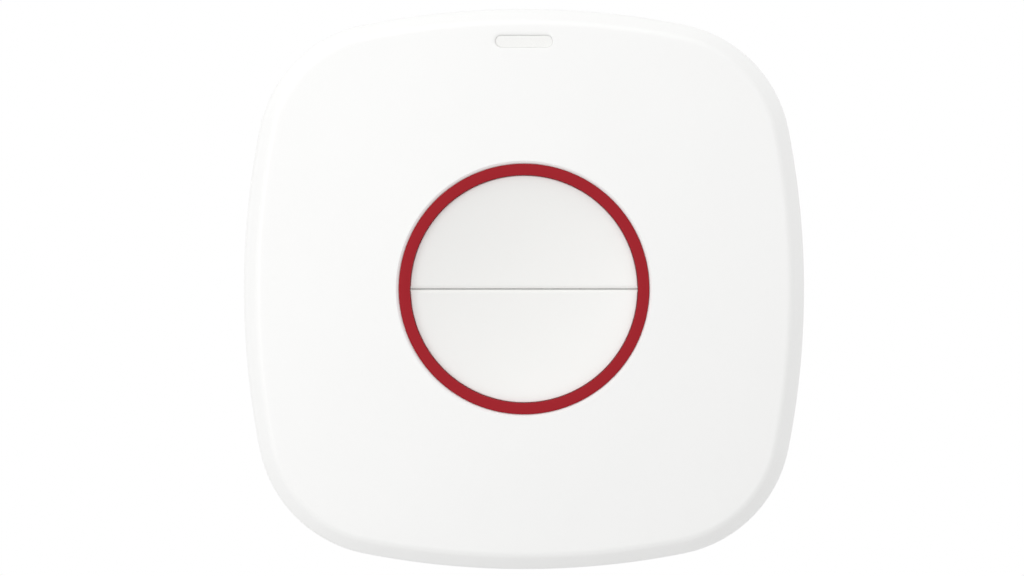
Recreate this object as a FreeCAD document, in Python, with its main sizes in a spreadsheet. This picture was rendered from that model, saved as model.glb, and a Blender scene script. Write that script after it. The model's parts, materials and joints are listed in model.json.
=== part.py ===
"""Wireless panic button on its wall bracket.

Frame: X to the right, Z up and Y into the wall, so the button faces -Y. The origin is the middle
of the bracket's back face. Every piece is drawn flat, with x to the right, y up and z as its
distance from the wall (its level), and its Placement stands it up. Lengths are in millimetres.
"""
import FreeCAD, Part
import math
import os
import Sketcher

from FreeCAD import Placement, Rotation, Vector

SIZES = {
    # Outline of the covers: four flat arcs for the sides and four tighter arcs for the corners
    "case_half": 28.0,
    "side_radius": 83.0,
    "corner_radius": 13.2,
    # Depth of the product, from the wall to the top of its gently crowned front
    "case_depth": 17.1,
    "crown_radius": 170.0,
    "parting_level": 7.0,
    "parting_edge": 0.2,
    "front_wall": 1.6,
    "bevel_depth": 2.2,
    "bevel_width": 1.3,
    "bevel_blend": 2.5,
    "crown_blend": 1.0,
    "inner_blend": 1.2,
    # Rear cover
    "rear_gap": 0.4,
    "rear_skin": 1.3,
    "slope_depth": 4.4,
    "slope_width": 1.4,
    "slope_blend": 6.0,
    "rim_blend": 0.5,
    "floor_blend": 0.8,
    "recess_inset": 3.2,
    "guide_length": 14.0,
    "guide_play": 0.2,
    "tongue_height": 1.0,
    "tongue_width": 0.7,
    "tongue_play": 0.1,
    "rib_width": 1.0,
    # Wall bracket and the hooks that carry the covers
    "bracket_thickness": 2.0,
    "bracket_play": 0.3,
    "bracket_blend": 0.4,
    "slide_play": 0.5,
    "lift_travel": 2.4,
    "hook_width": 3.4,
    "hook_gap": 0.5,
    "hook_stem": 2.2,
    "hook_lip": 2.0,
    "hook_lip_thickness": 1.0,
    "hook_play": 0.1,
    "upper_hook": 6.5,
    "lower_hook": -9.5,
    "wall_screw_spacing": 24.0,
    "wall_screw_hole": 1.75,
    "sink_width": 1.8,
    "sink_depth": 1.3,
    "finger_width": 7.0,
    "finger_length": 9.0,
    "finger_slit": 0.8,
    "finger_foot": -9.0,
    "bump_height": 0.25,
    "bump_radius": 1.2,
    # Battery door: a quarter-turn bayonet
    "door_radius": 11.8,
    "door_play": 0.15,
    "door_sink": 0.2,
    "door_edge": 0.3,
    "ledge_thickness": 0.9,
    "lug_thickness": 0.7,
    "lug_play": 0.05,
    "lug_reach": 1.3,
    "lug_angle": 28.0,
    "lug_count": 3,
    "notch_start": 90.0,
    "notch_play": 4.0,
    "door_turn": 45.0,
    "door_roof": 1.0,
    "door_pocket_wall": 1.3,
    "coin_slot_half": 5.0,
    "coin_slot_radius": 1.0,
    "coin_slot_depth": 0.8,
    "mark_radius": 0.5,
    "mark_depth": 0.25,
    "mark_gap": 1.4,
    # Coin cell, its well and its two contacts
    "cell_radius": 10.0,
    "cell_height": 3.2,
    "cell_cap_radius": 8.8,
    "cell_cap_height": 0.3,
    "cell_edge": 0.4,
    "cell_play": 0.35,
    "cell_lift": 0.05,
    "well_wall": 1.2,
    "well_rise": 0.15,
    "contact_space": 0.7,
    "contact_width": 3.0,
    "contact_metal": 0.2,
    "contact_touch": 0.05,
    "contact_foot": 2.2,
    "contact_bow": 0.55,
    "contact_room": 0.4,
    "spring_foot": 8.0,
    "spring_bend": 5.6,
    "spring_touch": 1.0,
    "spring_tail": 3.5,
    "spring_rise": 0.35,
    # Circuit board and what is soldered to it
    "board_thickness": 1.0,
    "board_play": 0.8,
    "chip_side": 5.0,
    "chip_height": 0.9,
    "chip_inset": 8.0,
    "chip_y": 3.0,
    "crystal_length": 3.2,
    "crystal_width": 2.5,
    "crystal_base": 0.4,
    "crystal_lid": 0.3,
    "crystal_y": -4.0,
    "capacitor_length": 1.0,
    "capacitor_width": 0.5,
    "capacitor_pitch": 1.4,
    "capacitor_row": 7.5,
    "coil_inset": 7.0,
    "coil_radius": 1.2,
    "coil_wire": 0.3,
    "coil_pitch": 1.75,
    "coil_length": 14.0,
    # Four long screws that hold the covers together, through the board
    "case_screw_inset": 11.5,
    "case_screw_shank": 1.0,
    "case_screw_head": 1.9,
    "case_screw_head_height": 1.3,
    "case_screw_seat": 2.0,
    "case_screw_bite": 2.65,
    "case_screw_play": 0.2,
    "case_screw_slot": 0.5,
    "case_screw_slot_half": 1.2,
    "case_screw_slot_depth": 0.6,
    "case_pillar": 3.0,
    "case_boss": 2.35,
    # Red ring round the buttons, and the three short screws that hold it
    "ring_bore": 11.35,
    "ring_wall": 1.15,
    "ring_height": 4.1,
    "ring_sink": 0.6,
    "ring_play": 0.06,
    "ring_edge": 0.15,
    "ring_flange": 1.0,
    "ring_ledge": 1.4,
    "collar_wall": 1.55,
    "hole_edge": 0.35,
    "ring_screw_circle": 17.0,
    "ring_screw_shank": 0.75,
    "ring_screw_head": 1.5,
    "ring_screw_head_height": 1.0,
    "ring_screw_bite": 1.8,
    "ring_screw_play": 0.15,
    "ring_screw_count": 3,
    "ring_screw_start": 90.0,
    "ring_screw_slot": 0.4,
    "ring_screw_slot_half": 0.95,
    "ring_screw_slot_depth": 0.5,
    "ring_lug": 2.1,
    "ring_boss": 2.0,
    "pilot_play": 0.05,
    "pilot_spare": 0.2,
    "key_width": 1.2,
    "key_depth": 1.0,
    "key_height": 1.2,
    "key_play": 0.15,
    # The two half-round buttons
    "press_travel": 0.4,
    "button_play": 0.08,
    "button_sink": 0.1,
    "button_edge": 2.7,
    "button_blend": 0.15,
    "dish_radius": 36.0,
    "split_gap": 0.1,
    "skirt_wall": 0.9,
    "stop_reach": 1.0,
    "stop_height": 0.85,
    "stop_play": 0.05,
    "post_radius": 1.6,
    "button_rib_height": 0.9,
    # The two push switches under them
    "switch_place": 5.6,
    "switch_half": 2.6,
    "switch_base": 1.25,
    "switch_lid": 0.35,
    "switch_well": 0.9,
    "switch_well_radius": 1.9,
    "clip_metal": 0.2,
    "clip_width": 2.0,
    "clip_drop": 1.0,
    "plunger_radius": 1.3,
    "plunger_reach": 0.9,
    "plunger_flange_radius": 1.8,
    "plunger_flange": 0.4,
    "plunger_play": 0.05,
    "plunger_room": 0.1,
    "terminal_width": 0.7,
    "terminal_reach": 1.1,
    "terminal_metal": 0.2,
    "terminal_height": 0.55,
    "terminal_place": 1.85,
    # Status lamp and its light pipe, in the slot above the buttons
    "lamp_inset": 3.3,
    "lamp_slot_half": 2.85,
    "lamp_slot_radius": 0.6,
    "lamp_play": 0.04,
    "lamp_sink": 0.25,
    "lamp_edge": 0.1,
    "lamp_length": 1.6,
    "lamp_width": 0.8,
    "lamp_height": 0.6,
    "lamp_gap": 0.3,
    "lamp_boss_half": 4.2,
    "lamp_boss_width": 2.8,
    "lamp_boss_drop": 0.7,
    "pipe_flange_half": 3.6,
    "pipe_flange_width": 2.2,
    "pipe_flange": 0.8,
    "pipe_leg": 0.8,
}


class Size:
    """A length or angle: its number now, and the formula that keeps it tied to the sheet."""

    def __init__(self, value, formula):
        self.value = value
        self.formula = formula

    def __add__(self, other):
        other = as_size(other)
        return Size(self.value + other.value, f"({self.formula} + {other.formula})")

    def __sub__(self, other):
        other = as_size(other)
        return Size(self.value - other.value, f"({self.formula} - {other.formula})")

    def __mul__(self, other):
        other = as_size(other)
        return Size(self.value * other.value, f"({self.formula} * {other.formula})")

    def __truediv__(self, other):
        other = as_size(other)
        return Size(self.value / other.value, f"({self.formula} / {other.formula})")

    def __neg__(self):
        return Size(-self.value, f"(0 - {self.formula})")

    def root(self):
        return Size(math.sqrt(self.value), f"sqrt({self.formula})")


def as_size(number):
    """A plain number as a Size; a Size stays as it is."""
    return number if isinstance(number, Size) else Size(float(number), repr(float(number)))


ZERO = as_size(0)


def as_position(number):
    """A coordinate as a Size, with one shared object for nothing, which means on the axis."""
    size = as_size(number)
    return ZERO if size.formula == ZERO.formula else size


class Sheet:
    """The document's spreadsheet. Each of its aliases reads back as a Size."""

    def __init__(self, document, sizes):
        self.sizes = sizes
        page = document.addObject("Spreadsheet::Sheet", "Sizes")
        for row, (name, number) in enumerate(sizes.items(), 1):
            page.set(f"A{row}", name)
            page.set(f"B{row}", str(number))
            page.setAlias(f"B{row}", name)
        document.recompute()

    def __getattr__(self, name):
        return Size(self.sizes[name], f"Sizes.{name}")


doc = FreeCAD.newDocument("PanicButton")
s = Sheet(doc, SIZES)
UPRIGHT = Rotation(Vector(1, 0, 0), 90)

# Levels, counted from the wall
recess_floor = s.bracket_thickness + s.bracket_play
inner_floor = recess_floor + s.rear_skin
door_back = recess_floor + s.door_sink
ledge_top = recess_floor + s.ledge_thickness
roof_low = ledge_top + s.lug_play + s.lug_thickness + s.lug_play
roof_top = roof_low + s.door_roof
cell_low = roof_low + s.cell_lift
cell_top = cell_low + s.cell_height
board_low = cell_top + s.contact_space
board_top = board_low + s.board_thickness
ring_top = s.case_depth - s.ring_sink
ring_low = ring_top - s.ring_height
collar_low = ring_low + s.ring_flange
stop_top = ring_low - s.stop_play
stop_low = stop_top - s.stop_height
button_rim = ring_top - s.button_sink
button_under = button_rim - s.button_edge
switch_top = board_top + s.switch_base
plunger_top = switch_top + s.switch_lid + s.plunger_reach
case_screw_seat = recess_floor + s.case_screw_seat
case_screw_tip = board_top + s.case_screw_bite
lug_low = ledge_top + s.lug_play
lug_high = lug_low + s.lug_thickness
key_top = ring_low + s.key_height
lamp_top = board_top + s.lamp_height
ring_screw_tip = collar_low + s.ring_screw_bite

# Radii and places, counted from the middle of the product
ring_outer = s.ring_bore + s.ring_wall
cover_hole = ring_outer + s.ring_play
collar_outer = cover_hole + s.collar_wall
button_radius = s.ring_bore - s.button_play
well_bore = s.cell_radius + s.cell_play
well_outer = well_bore + s.well_wall
door_opening = s.door_radius + s.door_play
lug_radius = s.door_radius + s.lug_reach
lug_groove = lug_radius + s.door_play
lug_start = s.notch_start + s.door_turn
pocket_outer = lug_groove + s.door_pocket_wall
hook_x = pocket_outer + s.hook_gap + s.hook_width / 2
bracket_shift = s.lift_travel / 2
bracket_inset = s.recess_inset + s.slide_play + bracket_shift
board_inset = s.front_wall + s.board_play
lamp_y = s.case_half - s.lamp_inset
tongue_inset = s.front_wall - s.tongue_width
case_screw_place = s.case_half - s.case_screw_inset
chip_x = s.case_half - s.chip_inset
coil_x = s.coil_inset - s.case_half
far_outside = s.case_half * 2


def polar(radius, angle):
    """Position at a distance from the middle, in a direction counted from x."""
    turn = math.radians(angle.value)
    across = Size(math.cos(turn), f"cos({angle.formula})")
    up = Size(math.sin(turn), f"sin({angle.formula})")
    return radius * across, radius * up


def crown_at(reach, inset=ZERO):
    """Level of the crowned front at a distance from the middle, or of a surface inside it."""
    radius = s.crown_radius - inset
    return s.case_depth - s.crown_radius + (radius * radius - reach * reach).root()


lamp_boss_low = crown_at(lamp_y, s.front_wall) - s.lamp_boss_drop
case_screw_places = [(x, y) for x in (case_screw_place, -case_screw_place)
                     for y in (case_screw_place, -case_screw_place)]
ring_screw_step = as_size(360) / s.ring_screw_count
ring_screw_places = [polar(s.ring_screw_circle, s.ring_screw_start + ring_screw_step * number)
                     for number in range(SIZES["ring_screw_count"])]


def tie(thing, name, size):
    """Set a property from a size, and keep the formula in the document."""
    size = as_size(size)
    if size.formula != ZERO.formula:
        thing.setExpression(name, size.formula)


class Drawing:
    """The shapes of one sketch, with every dimension tied to the sheet."""

    def __init__(self):
        self.shapes = []
        self.relations = []
        self.sizes = {}

    def add(self, shape):
        self.shapes.append(shape)
        return len(self.shapes) - 1

    def line(self, start, end):
        ends = (Vector(start[0].value, start[1].value, 0), Vector(end[0].value, end[1].value, 0))
        return self.add(Part.LineSegment(*ends))

    def arc(self, x, y, radius, start, end):
        whole = Part.Circle(Vector(x, y, 0), Vector(0, 0, 1), radius)
        return self.add(Part.ArcOfCircle(whole, start, end))

    def relate(self, kind, *where):
        self.relations.append(Sketcher.Constraint(kind, *where))

    def measure(self, kind, size, *where):
        self.sizes[len(self.relations)] = size
        self.relate(kind, *where, size.value)

    def locate(self, shape, point, x=None, y=None):
        """Fix a point of a shape: on an axis where the distance is nothing, else by its size."""
        for size, kind, axis in ((x, "DistanceX", -2), (y, "DistanceY", -1)):
            if size is ZERO:
                self.relate("PointOnObject", shape, point, axis)
            elif size is not None:
                self.measure(kind, size, -1, 1, shape, point)

    def fill(self, sketch):
        """Put everything into a sketch at once, so that it is solved once."""
        sketch.addGeometry(self.shapes, False)
        sketch.addConstraint(self.relations)
        for index, size in self.sizes.items():
            tie(sketch, f"Constraints[{index}]", size)


def circle(x, y, radius):
    """A circle in a sketch."""
    x, y = as_position(x), as_position(y)

    def draw(drawing):
        shape = drawing.add(Part.Circle(Vector(x.value, y.value, 0), Vector(0, 0, 1), radius.value))
        drawing.locate(shape, 3, x, y)
        drawing.measure("Radius", radius, shape)
    return draw


def polygon(*points):
    """A closed outline of straight lines through the given points."""
    points = [(as_position(x), as_position(y)) for x, y in points]

    def draw(drawing):
        lines = []
        for here, after in zip(points, points[1:] + points[:1]):
            lines.append(drawing.line(here, after))
        for line, after, (x, y) in zip(lines, lines[1:] + lines[:1], points):
            drawing.relate("Coincident", line, 2, after, 1)
            drawing.locate(line, 1, x, y)
    return draw


def rectangle(left, bottom, right, top):
    """An upright rectangle from its four sides."""
    return polygon((left, bottom), (right, bottom), (right, top), (left, top))


def centred(x, y, half_width, half_height):
    """An upright rectangle round a point."""
    x, y = as_size(x), as_size(y)
    return rectangle(x - half_width, y - half_height, x + half_width, y + half_height)


def rounded_slot(x, y, half_length, radius):
    """A slot with round ends, lying along x."""
    x, y = as_size(x), as_size(y)
    middles = (x + half_length - radius, x - half_length + radius)

    def draw(drawing):
        ends = []
        for middle, start in zip(middles, (-math.pi / 2, math.pi / 2)):
            ends.append(drawing.arc(middle.value, y.value, radius.value, start, start + math.pi))
        top = drawing.line((middles[0], y + radius), (middles[1], y + radius))
        bottom = drawing.line((middles[1], y - radius), (middles[0], y - radius))
        for first, second in ((ends[0], top), (top, ends[1]), (ends[1], bottom), (bottom, ends[0])):
            drawing.relate("Tangent", first, 2, second, 1)
        drawing.relate("Equal", *ends)
        drawing.measure("Radius", radius, ends[0])
        for end, middle in zip(ends, middles):
            drawing.locate(end, 3, as_position(middle), as_position(y))
    return draw


def circles(places, radius):
    """A circle of one radius at each of the places."""
    return [circle(x, y, radius) for x, y in places]


def case_outline(inset=ZERO):
    """The rounded square of the covers, or the same outline a distance inside it.

    Four long arcs bow out from the opposite side of the middle, and four corner arcs join them
    smoothly. Insets keep the arc centres, so every wall between two outlines is even.
    """
    offset = s.side_radius - s.case_half
    side = s.side_radius - inset
    corner = s.corner_radius - inset

    def draw(drawing):
        between = side.value - corner.value
        bow = offset.value
        middle = (math.sqrt(2 * between**2 - bow**2) - bow) / 2
        joint = math.atan2(middle, middle + bow)
        arcs = []
        for quarter in range(4):
            turn = quarter * math.pi / 2
            across, along = math.cos(turn), math.sin(turn)
            arcs.append(drawing.arc(-bow * across, -bow * along, side.value, turn - joint, turn + joint))
            x, y = middle * (across - along), middle * (along + across)
            arcs.append(drawing.arc(x, y, corner.value, turn + joint, turn + math.pi / 2 - joint))
        sides, corners = arcs[0::2], arcs[1::2]
        for arc, after in zip(arcs, arcs[1:] + arcs[:1]):
            drawing.relate("Tangent", arc, 2, after, 1)
        for group in (sides, corners):
            for arc in group[1:]:
                drawing.relate("Equal", group[0], arc)
        drawing.measure("Radius", side, sides[0])
        drawing.measure("Radius", corner, corners[0])
        drawing.locate(sides[0], 3, x=-offset, y=ZERO)
        drawing.locate(sides[1], 3, x=ZERO, y=-offset)
        drawing.locate(sides[2], 3, x=offset, y=ZERO)
        drawing.locate(sides[3], 3, x=ZERO, y=offset)
    return draw


def domed(centre, radius, reach, *corners):
    """Half section of a body under or over a sphere whose centre lies on the axis.

    The arc runs from the axis out to the reach, on the side of the centre where the corners lie,
    and straight lines go on through the corners. The last corner is on the axis.
    """
    above = corners[0][1].value > centre.value

    def draw(drawing):
        lean = math.asin(reach.value / radius.value)
        rise = radius.value * math.cos(lean) * (1 if above else -1)
        start, end = (math.pi / 2 - lean, math.pi / 2) if above else (-math.pi / 2, lean - math.pi / 2)
        arc = drawing.arc(0, centre.value, radius.value, start, end)
        pole, rim = (2, 1) if above else (1, 2)
        drawing.locate(arc, 3, ZERO, centre)
        drawing.measure("Radius", radius, arc)
        drawing.locate(arc, pole, x=ZERO)
        drawing.locate(arc, rim, x=reach)
        before, point = (reach, as_size(centre.value + rise)), (arc, rim)
        for corner in corners:
            x, y = as_position(corner[0]), as_position(corner[1])
            line = drawing.line(before, (x, y))
            drawing.relate("Coincident", *point, line, 1)
            drawing.locate(line, 2, x, y)
            before, point = (x, y), (line, 2)
        tip = as_size(centre.value + radius.value * (1 if above else -1))
        line = drawing.line(before, (ZERO, tip))
        drawing.relate("Coincident", *point, line, 1)
        drawing.relate("Coincident", line, 2, arc, pole)
    return draw


class Piece:
    """One solid piece as a body of features, drawn flat and then stood up against the wall."""

    def __init__(self, label, flat=False):
        self.body = doc.addObject("PartDesign::Body", label)
        self.body.Label = label
        self.cuts = []
        if not flat:
            self.body.Placement.Rotation = UPRIGHT

    def origin(self, role):
        return next(item for item in self.body.Origin.OriginFeatures if item.Role == role)

    def sketch(self, name, plane, shapes):
        sketch = self.body.newObject("Sketcher::SketchObject", f"{name}Sketch")
        sketch.AttachmentSupport = [(self.origin(plane), "")]
        sketch.MapMode = "FlatFace"
        drawing = Drawing()
        for draw in shapes:
            draw(drawing)
        drawing.fill(sketch)
        return sketch

    def feature(self, kind, name):
        return self.body.newObject(f"PartDesign::{kind}", name)

    def level_feature(self, kind, name, low, high, shapes, shift):
        sketch = self.sketch(name, "XY_Plane", shapes)
        tie(sketch, "AttachmentOffset.Base.z", low)
        tie(sketch, "AttachmentOffset.Base.y", shift)
        feature = self.feature(kind, name)
        feature.Profile = sketch
        tie(feature, "Length", high - low)
        return feature

    def pad(self, name, low, high, *shapes, shift=ZERO):
        """Material over the shapes, from one level up to another."""
        return self.level_feature("Pad", name, low, high, shapes, shift)

    def cut(self, name, low, high, *shapes, shift=ZERO):
        """A recess or hole over the shapes, from one level up to another."""
        feature = self.level_feature("Pocket", name, low, high, shapes, shift)
        feature.Reversed = True
        self.cuts.append(feature)
        return feature

    def turned(self, kind, name, shapes, angle, start):
        """A profile of radius and level, turned round the axis, all round or through a sector."""
        sketch = self.sketch(name, "XZ_Plane", shapes)
        feature = self.feature(kind, name)
        feature.Profile = sketch
        feature.ReferenceAxis = (sketch, ["V_Axis"])
        feature.Angle = 360
        if angle is not None:
            feature.Midplane = True
            tie(feature, "Angle", angle)
            sketch.AttachmentOffset = Placement(Vector(), Rotation(Vector(0, 1, 0), start.value))
            tie(sketch, "AttachmentOffset.Rotation.Angle", start)
        return feature

    def turn(self, name, *shapes, angle=None, start=ZERO):
        return self.turned("Revolution", name, shapes, angle, start)

    def bore(self, name, *shapes, angle=None, start=ZERO):
        feature = self.turned("Groove", name, shapes, angle, start)
        self.cuts.append(feature)
        return feature

    def strip(self, name, width, *shapes, start=ZERO):
        """A profile of distance and level, given a width across it."""
        sketch = self.sketch(name, "XZ_Plane", shapes)
        sketch.AttachmentOffset = Placement(Vector(), Rotation(Vector(0, 1, 0), start.value))
        tie(sketch, "AttachmentOffset.Rotation.Angle", start)
        feature = self.feature("Pad", name)
        feature.Profile = sketch
        feature.SideType = "Symmetric"
        tie(feature, "Length", width)
        return feature

    def around(self, name, count, original):
        """Copies of a feature, evenly spaced round the axis."""
        feature = self.feature("PolarPattern", name)
        feature.Originals = [original]
        feature.Axis = (self.origin("Z_Axis"), [""])
        feature.Angle = 360
        tie(feature, "Occurrences", count)
        self.body.Tip = feature
        return feature

    def hollow(self, name, tool):
        """Take another piece's body, drawn flat in the same place, out of this one."""
        doc.recompute()
        feature = self.feature("Boolean", name)
        feature.Type = "Cut"
        feature.setObjects([tool.body])
        doc.recompute()
        return feature

    def edges(self, wanted):
        """The newest feature, with those of its edges that wanted(edge, faces) picks."""
        doc.recompute()
        shape = self.body.Tip.Shape
        names = []
        for number, edge in enumerate(shape.Edges, 1):
            if wanted(edge, shape.ancestorsOfType(edge, Part.Face)):
                names.append(f"Edge{number}")
        if not names:
            raise RuntimeError(f"{self.body.Label}: no such edge")
        return self.body.Tip, names

    def blend(self, name, radius, wanted):
        """Round the picked edges."""
        base = self.edges(wanted)
        feature = self.feature("Fillet", name)
        feature.Base = base
        tie(feature, "Radius", radius)
        return feature

    def bevel(self, name, first, second, wanted):
        """Cut the picked edges to a slope, with one distance on each of its faces."""
        base = self.edges(wanted)
        feature = self.feature("Chamfer", name)
        feature.Base = base
        feature.ChamferType = "Two distances"
        tie(feature, "Size", first)
        tie(feature, "Size2", second)
        return feature

    def finished(self):
        """The body, once each of its cuts is known to have removed material."""
        doc.recompute()
        volumes = {}
        for cut in self.cuts:
            for feature in (cut.BaseFeature, cut):
                if feature.Name not in volumes:
                    volumes[feature.Name] = feature.Shape.Volume
            if volumes[cut.Name] >= volumes[cut.BaseFeature.Name]:
                raise RuntimeError(f"{self.body.Label}: {cut.Label} removed nothing")
        return self.body


def on_sphere(edge, faces):
    return any(isinstance(face.Surface, Part.Sphere) for face in faces)


def above_base(low, high):
    """Picks the edges where the upright walls end, away from the level that they start from.

    The walls are the faces that touch one of the two levels and stand upright.
    """
    def wanted(edge, faces):
        upright = [face for face in faces if stands_from(face, low, high)]
        return len(upright) == 1 and not on_level(edge, low) and not on_level(edge, high)
    return wanted


def stands_from(face, low, high):
    """True for an upright curved wall that starts at one of the levels."""
    box = face.BoundBox
    starts = abs(box.ZMin - low.value) < 1e-4 or abs(box.ZMax - high.value) < 1e-4
    return starts and isinstance(face.Surface, Part.Cylinder)


def on_level(edge, level):
    box = edge.BoundBox
    return abs(box.ZMin - level.value) < 1e-4 and abs(box.ZMax - level.value) < 1e-4


def at_level(level):
    """Picks edges that lie flat at a level."""
    def wanted(edge, faces):
        return on_level(edge, level)
    return wanted


def round_at(radius, level):
    """Picks round edges of a radius that lie flat at a level."""
    def wanted(edge, faces):
        return (on_level(edge, level) and isinstance(edge.Curve, Part.Circle)
                and abs(edge.Curve.Radius - radius.value) < 1e-4)
    return wanted


def hole_on_sphere(radius):
    """Picks the edges where a round hole of a radius comes out of a spherical face."""
    def wanted(edge, faces):
        walls = [face.Surface for face in faces if isinstance(face.Surface, Part.Cylinder)]
        return on_sphere(edge, faces) and any(abs(wall.Radius - radius.value) < 1e-4 for wall in walls)
    return wanted


def wall_bracket():
    """Flat plate screwed to the wall, with four hooks that the rear cover hangs on."""
    piece = Piece("wall_bracket")
    top = s.bracket_thickness
    piece.pad("Plate", ZERO, top, case_outline(bracket_inset), shift=bracket_shift)
    piece.blend("PlateEdge", s.bracket_blend, at_level(top))
    lip_low = inner_floor + s.hook_play
    lip_top = lip_low + s.hook_lip_thickness
    stems, lips, windows = [], [], []
    for foot in (s.upper_hook, s.lower_hook):
        for x in (hook_x, -hook_x):
            left, right = x - s.hook_width / 2, x + s.hook_width / 2
            neck = foot + s.hook_stem
            stems.append(rectangle(left, foot, right, neck))
            lips.append(rectangle(left, neck, right, neck + s.hook_lip))
            windows.append(rectangle(left, neck, right, neck + s.hook_lip))
    piece.pad("HookStems", top, lip_top, *stems)
    piece.pad("HookLips", lip_low, lip_top, *lips)
    piece.cut("HookWindows", ZERO, top, *windows)
    screw_x = s.wall_screw_spacing / 2
    holes = [circle(x, 0, s.wall_screw_hole) for x in (screw_x, -screw_x)]
    piece.cut("ScrewHoles", ZERO, top, *holes)
    piece.bevel("Countersinks", s.sink_depth, s.sink_width, round_at(s.wall_screw_hole, top))
    half, root = s.finger_width / 2, s.finger_foot
    tip = root - s.finger_length
    slit = polygon((-half, root), (-half, tip), (half, tip), (half, root), (half - s.finger_slit, root),
                   (half - s.finger_slit, tip + s.finger_slit), (s.finger_slit - half, tip + s.finger_slit),
                   (s.finger_slit - half, root))
    piece.cut("FingerSlit", ZERO, top, slit)
    bump_y = tip + s.finger_slit + s.bump_radius * 2
    piece.pad("FingerBump", top, top + s.bump_height, circle(0, bump_y, s.bump_radius))
    return piece.finished()


def rear_cover():
    """Rear half of the covers: shell, bracket recess, battery well and screw pillars."""
    piece = Piece("rear_cover")
    piece.pad("Block", s.rear_gap, s.parting_level, case_outline())
    piece.bevel("BackSlope", s.slope_depth, s.slope_width, at_level(s.rear_gap))
    piece.blend("SlopeEdge", s.slope_blend, above_base(s.rear_gap, s.parting_level))
    piece.blend("RimEdge", s.rim_blend, at_level(s.rear_gap))
    piece.blend("PartingEdge", s.parting_edge, at_level(s.parting_level))
    piece.cut("Inside", inner_floor, s.parting_level, case_outline(s.front_wall))
    piece.blend("FloorEdge", s.floor_blend, at_level(inner_floor))
    piece.pad("Tongue", s.parting_level, s.parting_level + s.tongue_height,
              case_outline(tongue_inset), case_outline(s.front_wall))
    piece.cut("BracketRecess", s.rear_gap, recess_floor, case_outline(s.recess_inset))
    guide_in = s.case_half - bracket_inset + s.guide_play
    guide_out = s.case_half - s.recess_inset + s.rib_width / 2
    half = s.guide_length / 2
    piece.pad("Guides", s.rear_gap + s.rim_blend, recess_floor,
              rectangle(guide_in, -half, guide_out, half), rectangle(-guide_out, -half, -guide_in, half))

    rib = piece.strip("Rib", s.rib_width, rectangle(
        pocket_outer - s.door_pocket_wall / 2, inner_floor,
        s.case_half - s.front_wall + s.rib_width / 2, roof_top))
    piece.around("Ribs", as_size(4), rib)
    piece.pad("DoorPocket", inner_floor, roof_top, circle(0, 0, pocket_outer))
    piece.pad("CellWell", roof_top, cell_top + s.well_rise, circle(0, 0, well_outer))
    piece.bore("DoorAndCell", polygon(
        (0, 0), (door_opening, 0), (door_opening, ledge_top), (lug_groove, ledge_top),
        (lug_groove, roof_low), (well_bore, roof_low), (well_bore, board_low), (0, board_low)))
    notch = piece.bore("Notch", rectangle(s.door_radius, 0, lug_groove, roof_low),
                       angle=s.lug_angle + s.notch_play, start=s.notch_start)
    piece.around("Notches", s.lug_count, notch)
    opening = s.contact_width / 2 + s.contact_room
    piece.cut("ContactWindow", roof_top, board_low,
              rectangle(well_bore - s.well_wall, -opening, well_outer + s.well_wall, opening))

    piece.pad("Pillars", inner_floor, board_low, *circles(case_screw_places, s.case_pillar))
    head = s.case_screw_head + s.case_screw_play
    piece.cut("ScrewSeats", s.rear_gap, case_screw_seat, *circles(case_screw_places, head))
    shank = s.case_screw_shank + s.case_screw_play
    piece.cut("ScrewHoles", s.rear_gap, board_low, *circles(case_screw_places, shank))

    slots = []
    for foot in (s.upper_hook, s.lower_hook):
        for x in (hook_x, -hook_x):
            half = s.hook_width / 2 + s.guide_play
            low = foot - s.lift_travel - s.hook_play
            slots.append(rectangle(x - half, low, x + half, foot + s.hook_stem + s.hook_play))
    piece.cut("HookSlots", s.rear_gap, inner_floor, *slots)
    places = [polar(lug_groove + s.mark_gap, turn) for turn in (s.notch_start, lug_start)]
    piece.cut("DoorMarks", s.rear_gap, recess_floor + s.mark_depth, *circles(places, s.mark_radius))
    return piece.finished()


def battery_door():
    """Round door in the rear cover, with three bayonet lugs and a slot for a coin."""
    piece = Piece("battery_door")
    piece.turn("Disc", polygon(
        (0, door_back), (s.door_radius - s.door_edge, door_back),
        (s.door_radius, door_back + s.door_edge), (s.door_radius, lug_high), (0, lug_high)))
    lug = piece.turn("Lug", rectangle(s.door_radius - s.lug_reach / 2, lug_low, lug_radius, lug_high),
                     angle=s.lug_angle, start=lug_start)
    piece.around("Lugs", s.lug_count, lug)
    piece.cut("CoinSlot", door_back, door_back + s.coin_slot_depth,
              rounded_slot(0, 0, s.coin_slot_half, s.coin_slot_radius))
    mark = circle(*polar(s.door_radius - s.mark_gap, lug_start), s.mark_radius)
    piece.cut("DoorMark", door_back, door_back + s.mark_depth, mark)
    return piece.finished()


def coin_cell():
    """Coin cell: the can with its flat side to the door, and the smaller cap to the board."""
    piece = Piece("coin_cell")
    edge = s.cell_edge
    can_top = cell_top - s.cell_cap_height
    piece.turn("Cell", polygon(
        (0, cell_low), (s.cell_radius - edge, cell_low), (s.cell_radius, cell_low + edge),
        (s.cell_radius, can_top - edge), (s.cell_radius - edge, can_top),
        (s.cell_cap_radius + edge, can_top), (s.cell_cap_radius + edge / 2, can_top - edge / 2),
        (s.cell_cap_radius, can_top - edge / 2), (s.cell_cap_radius, cell_top), (0, cell_top)))
    return piece.finished()


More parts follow.
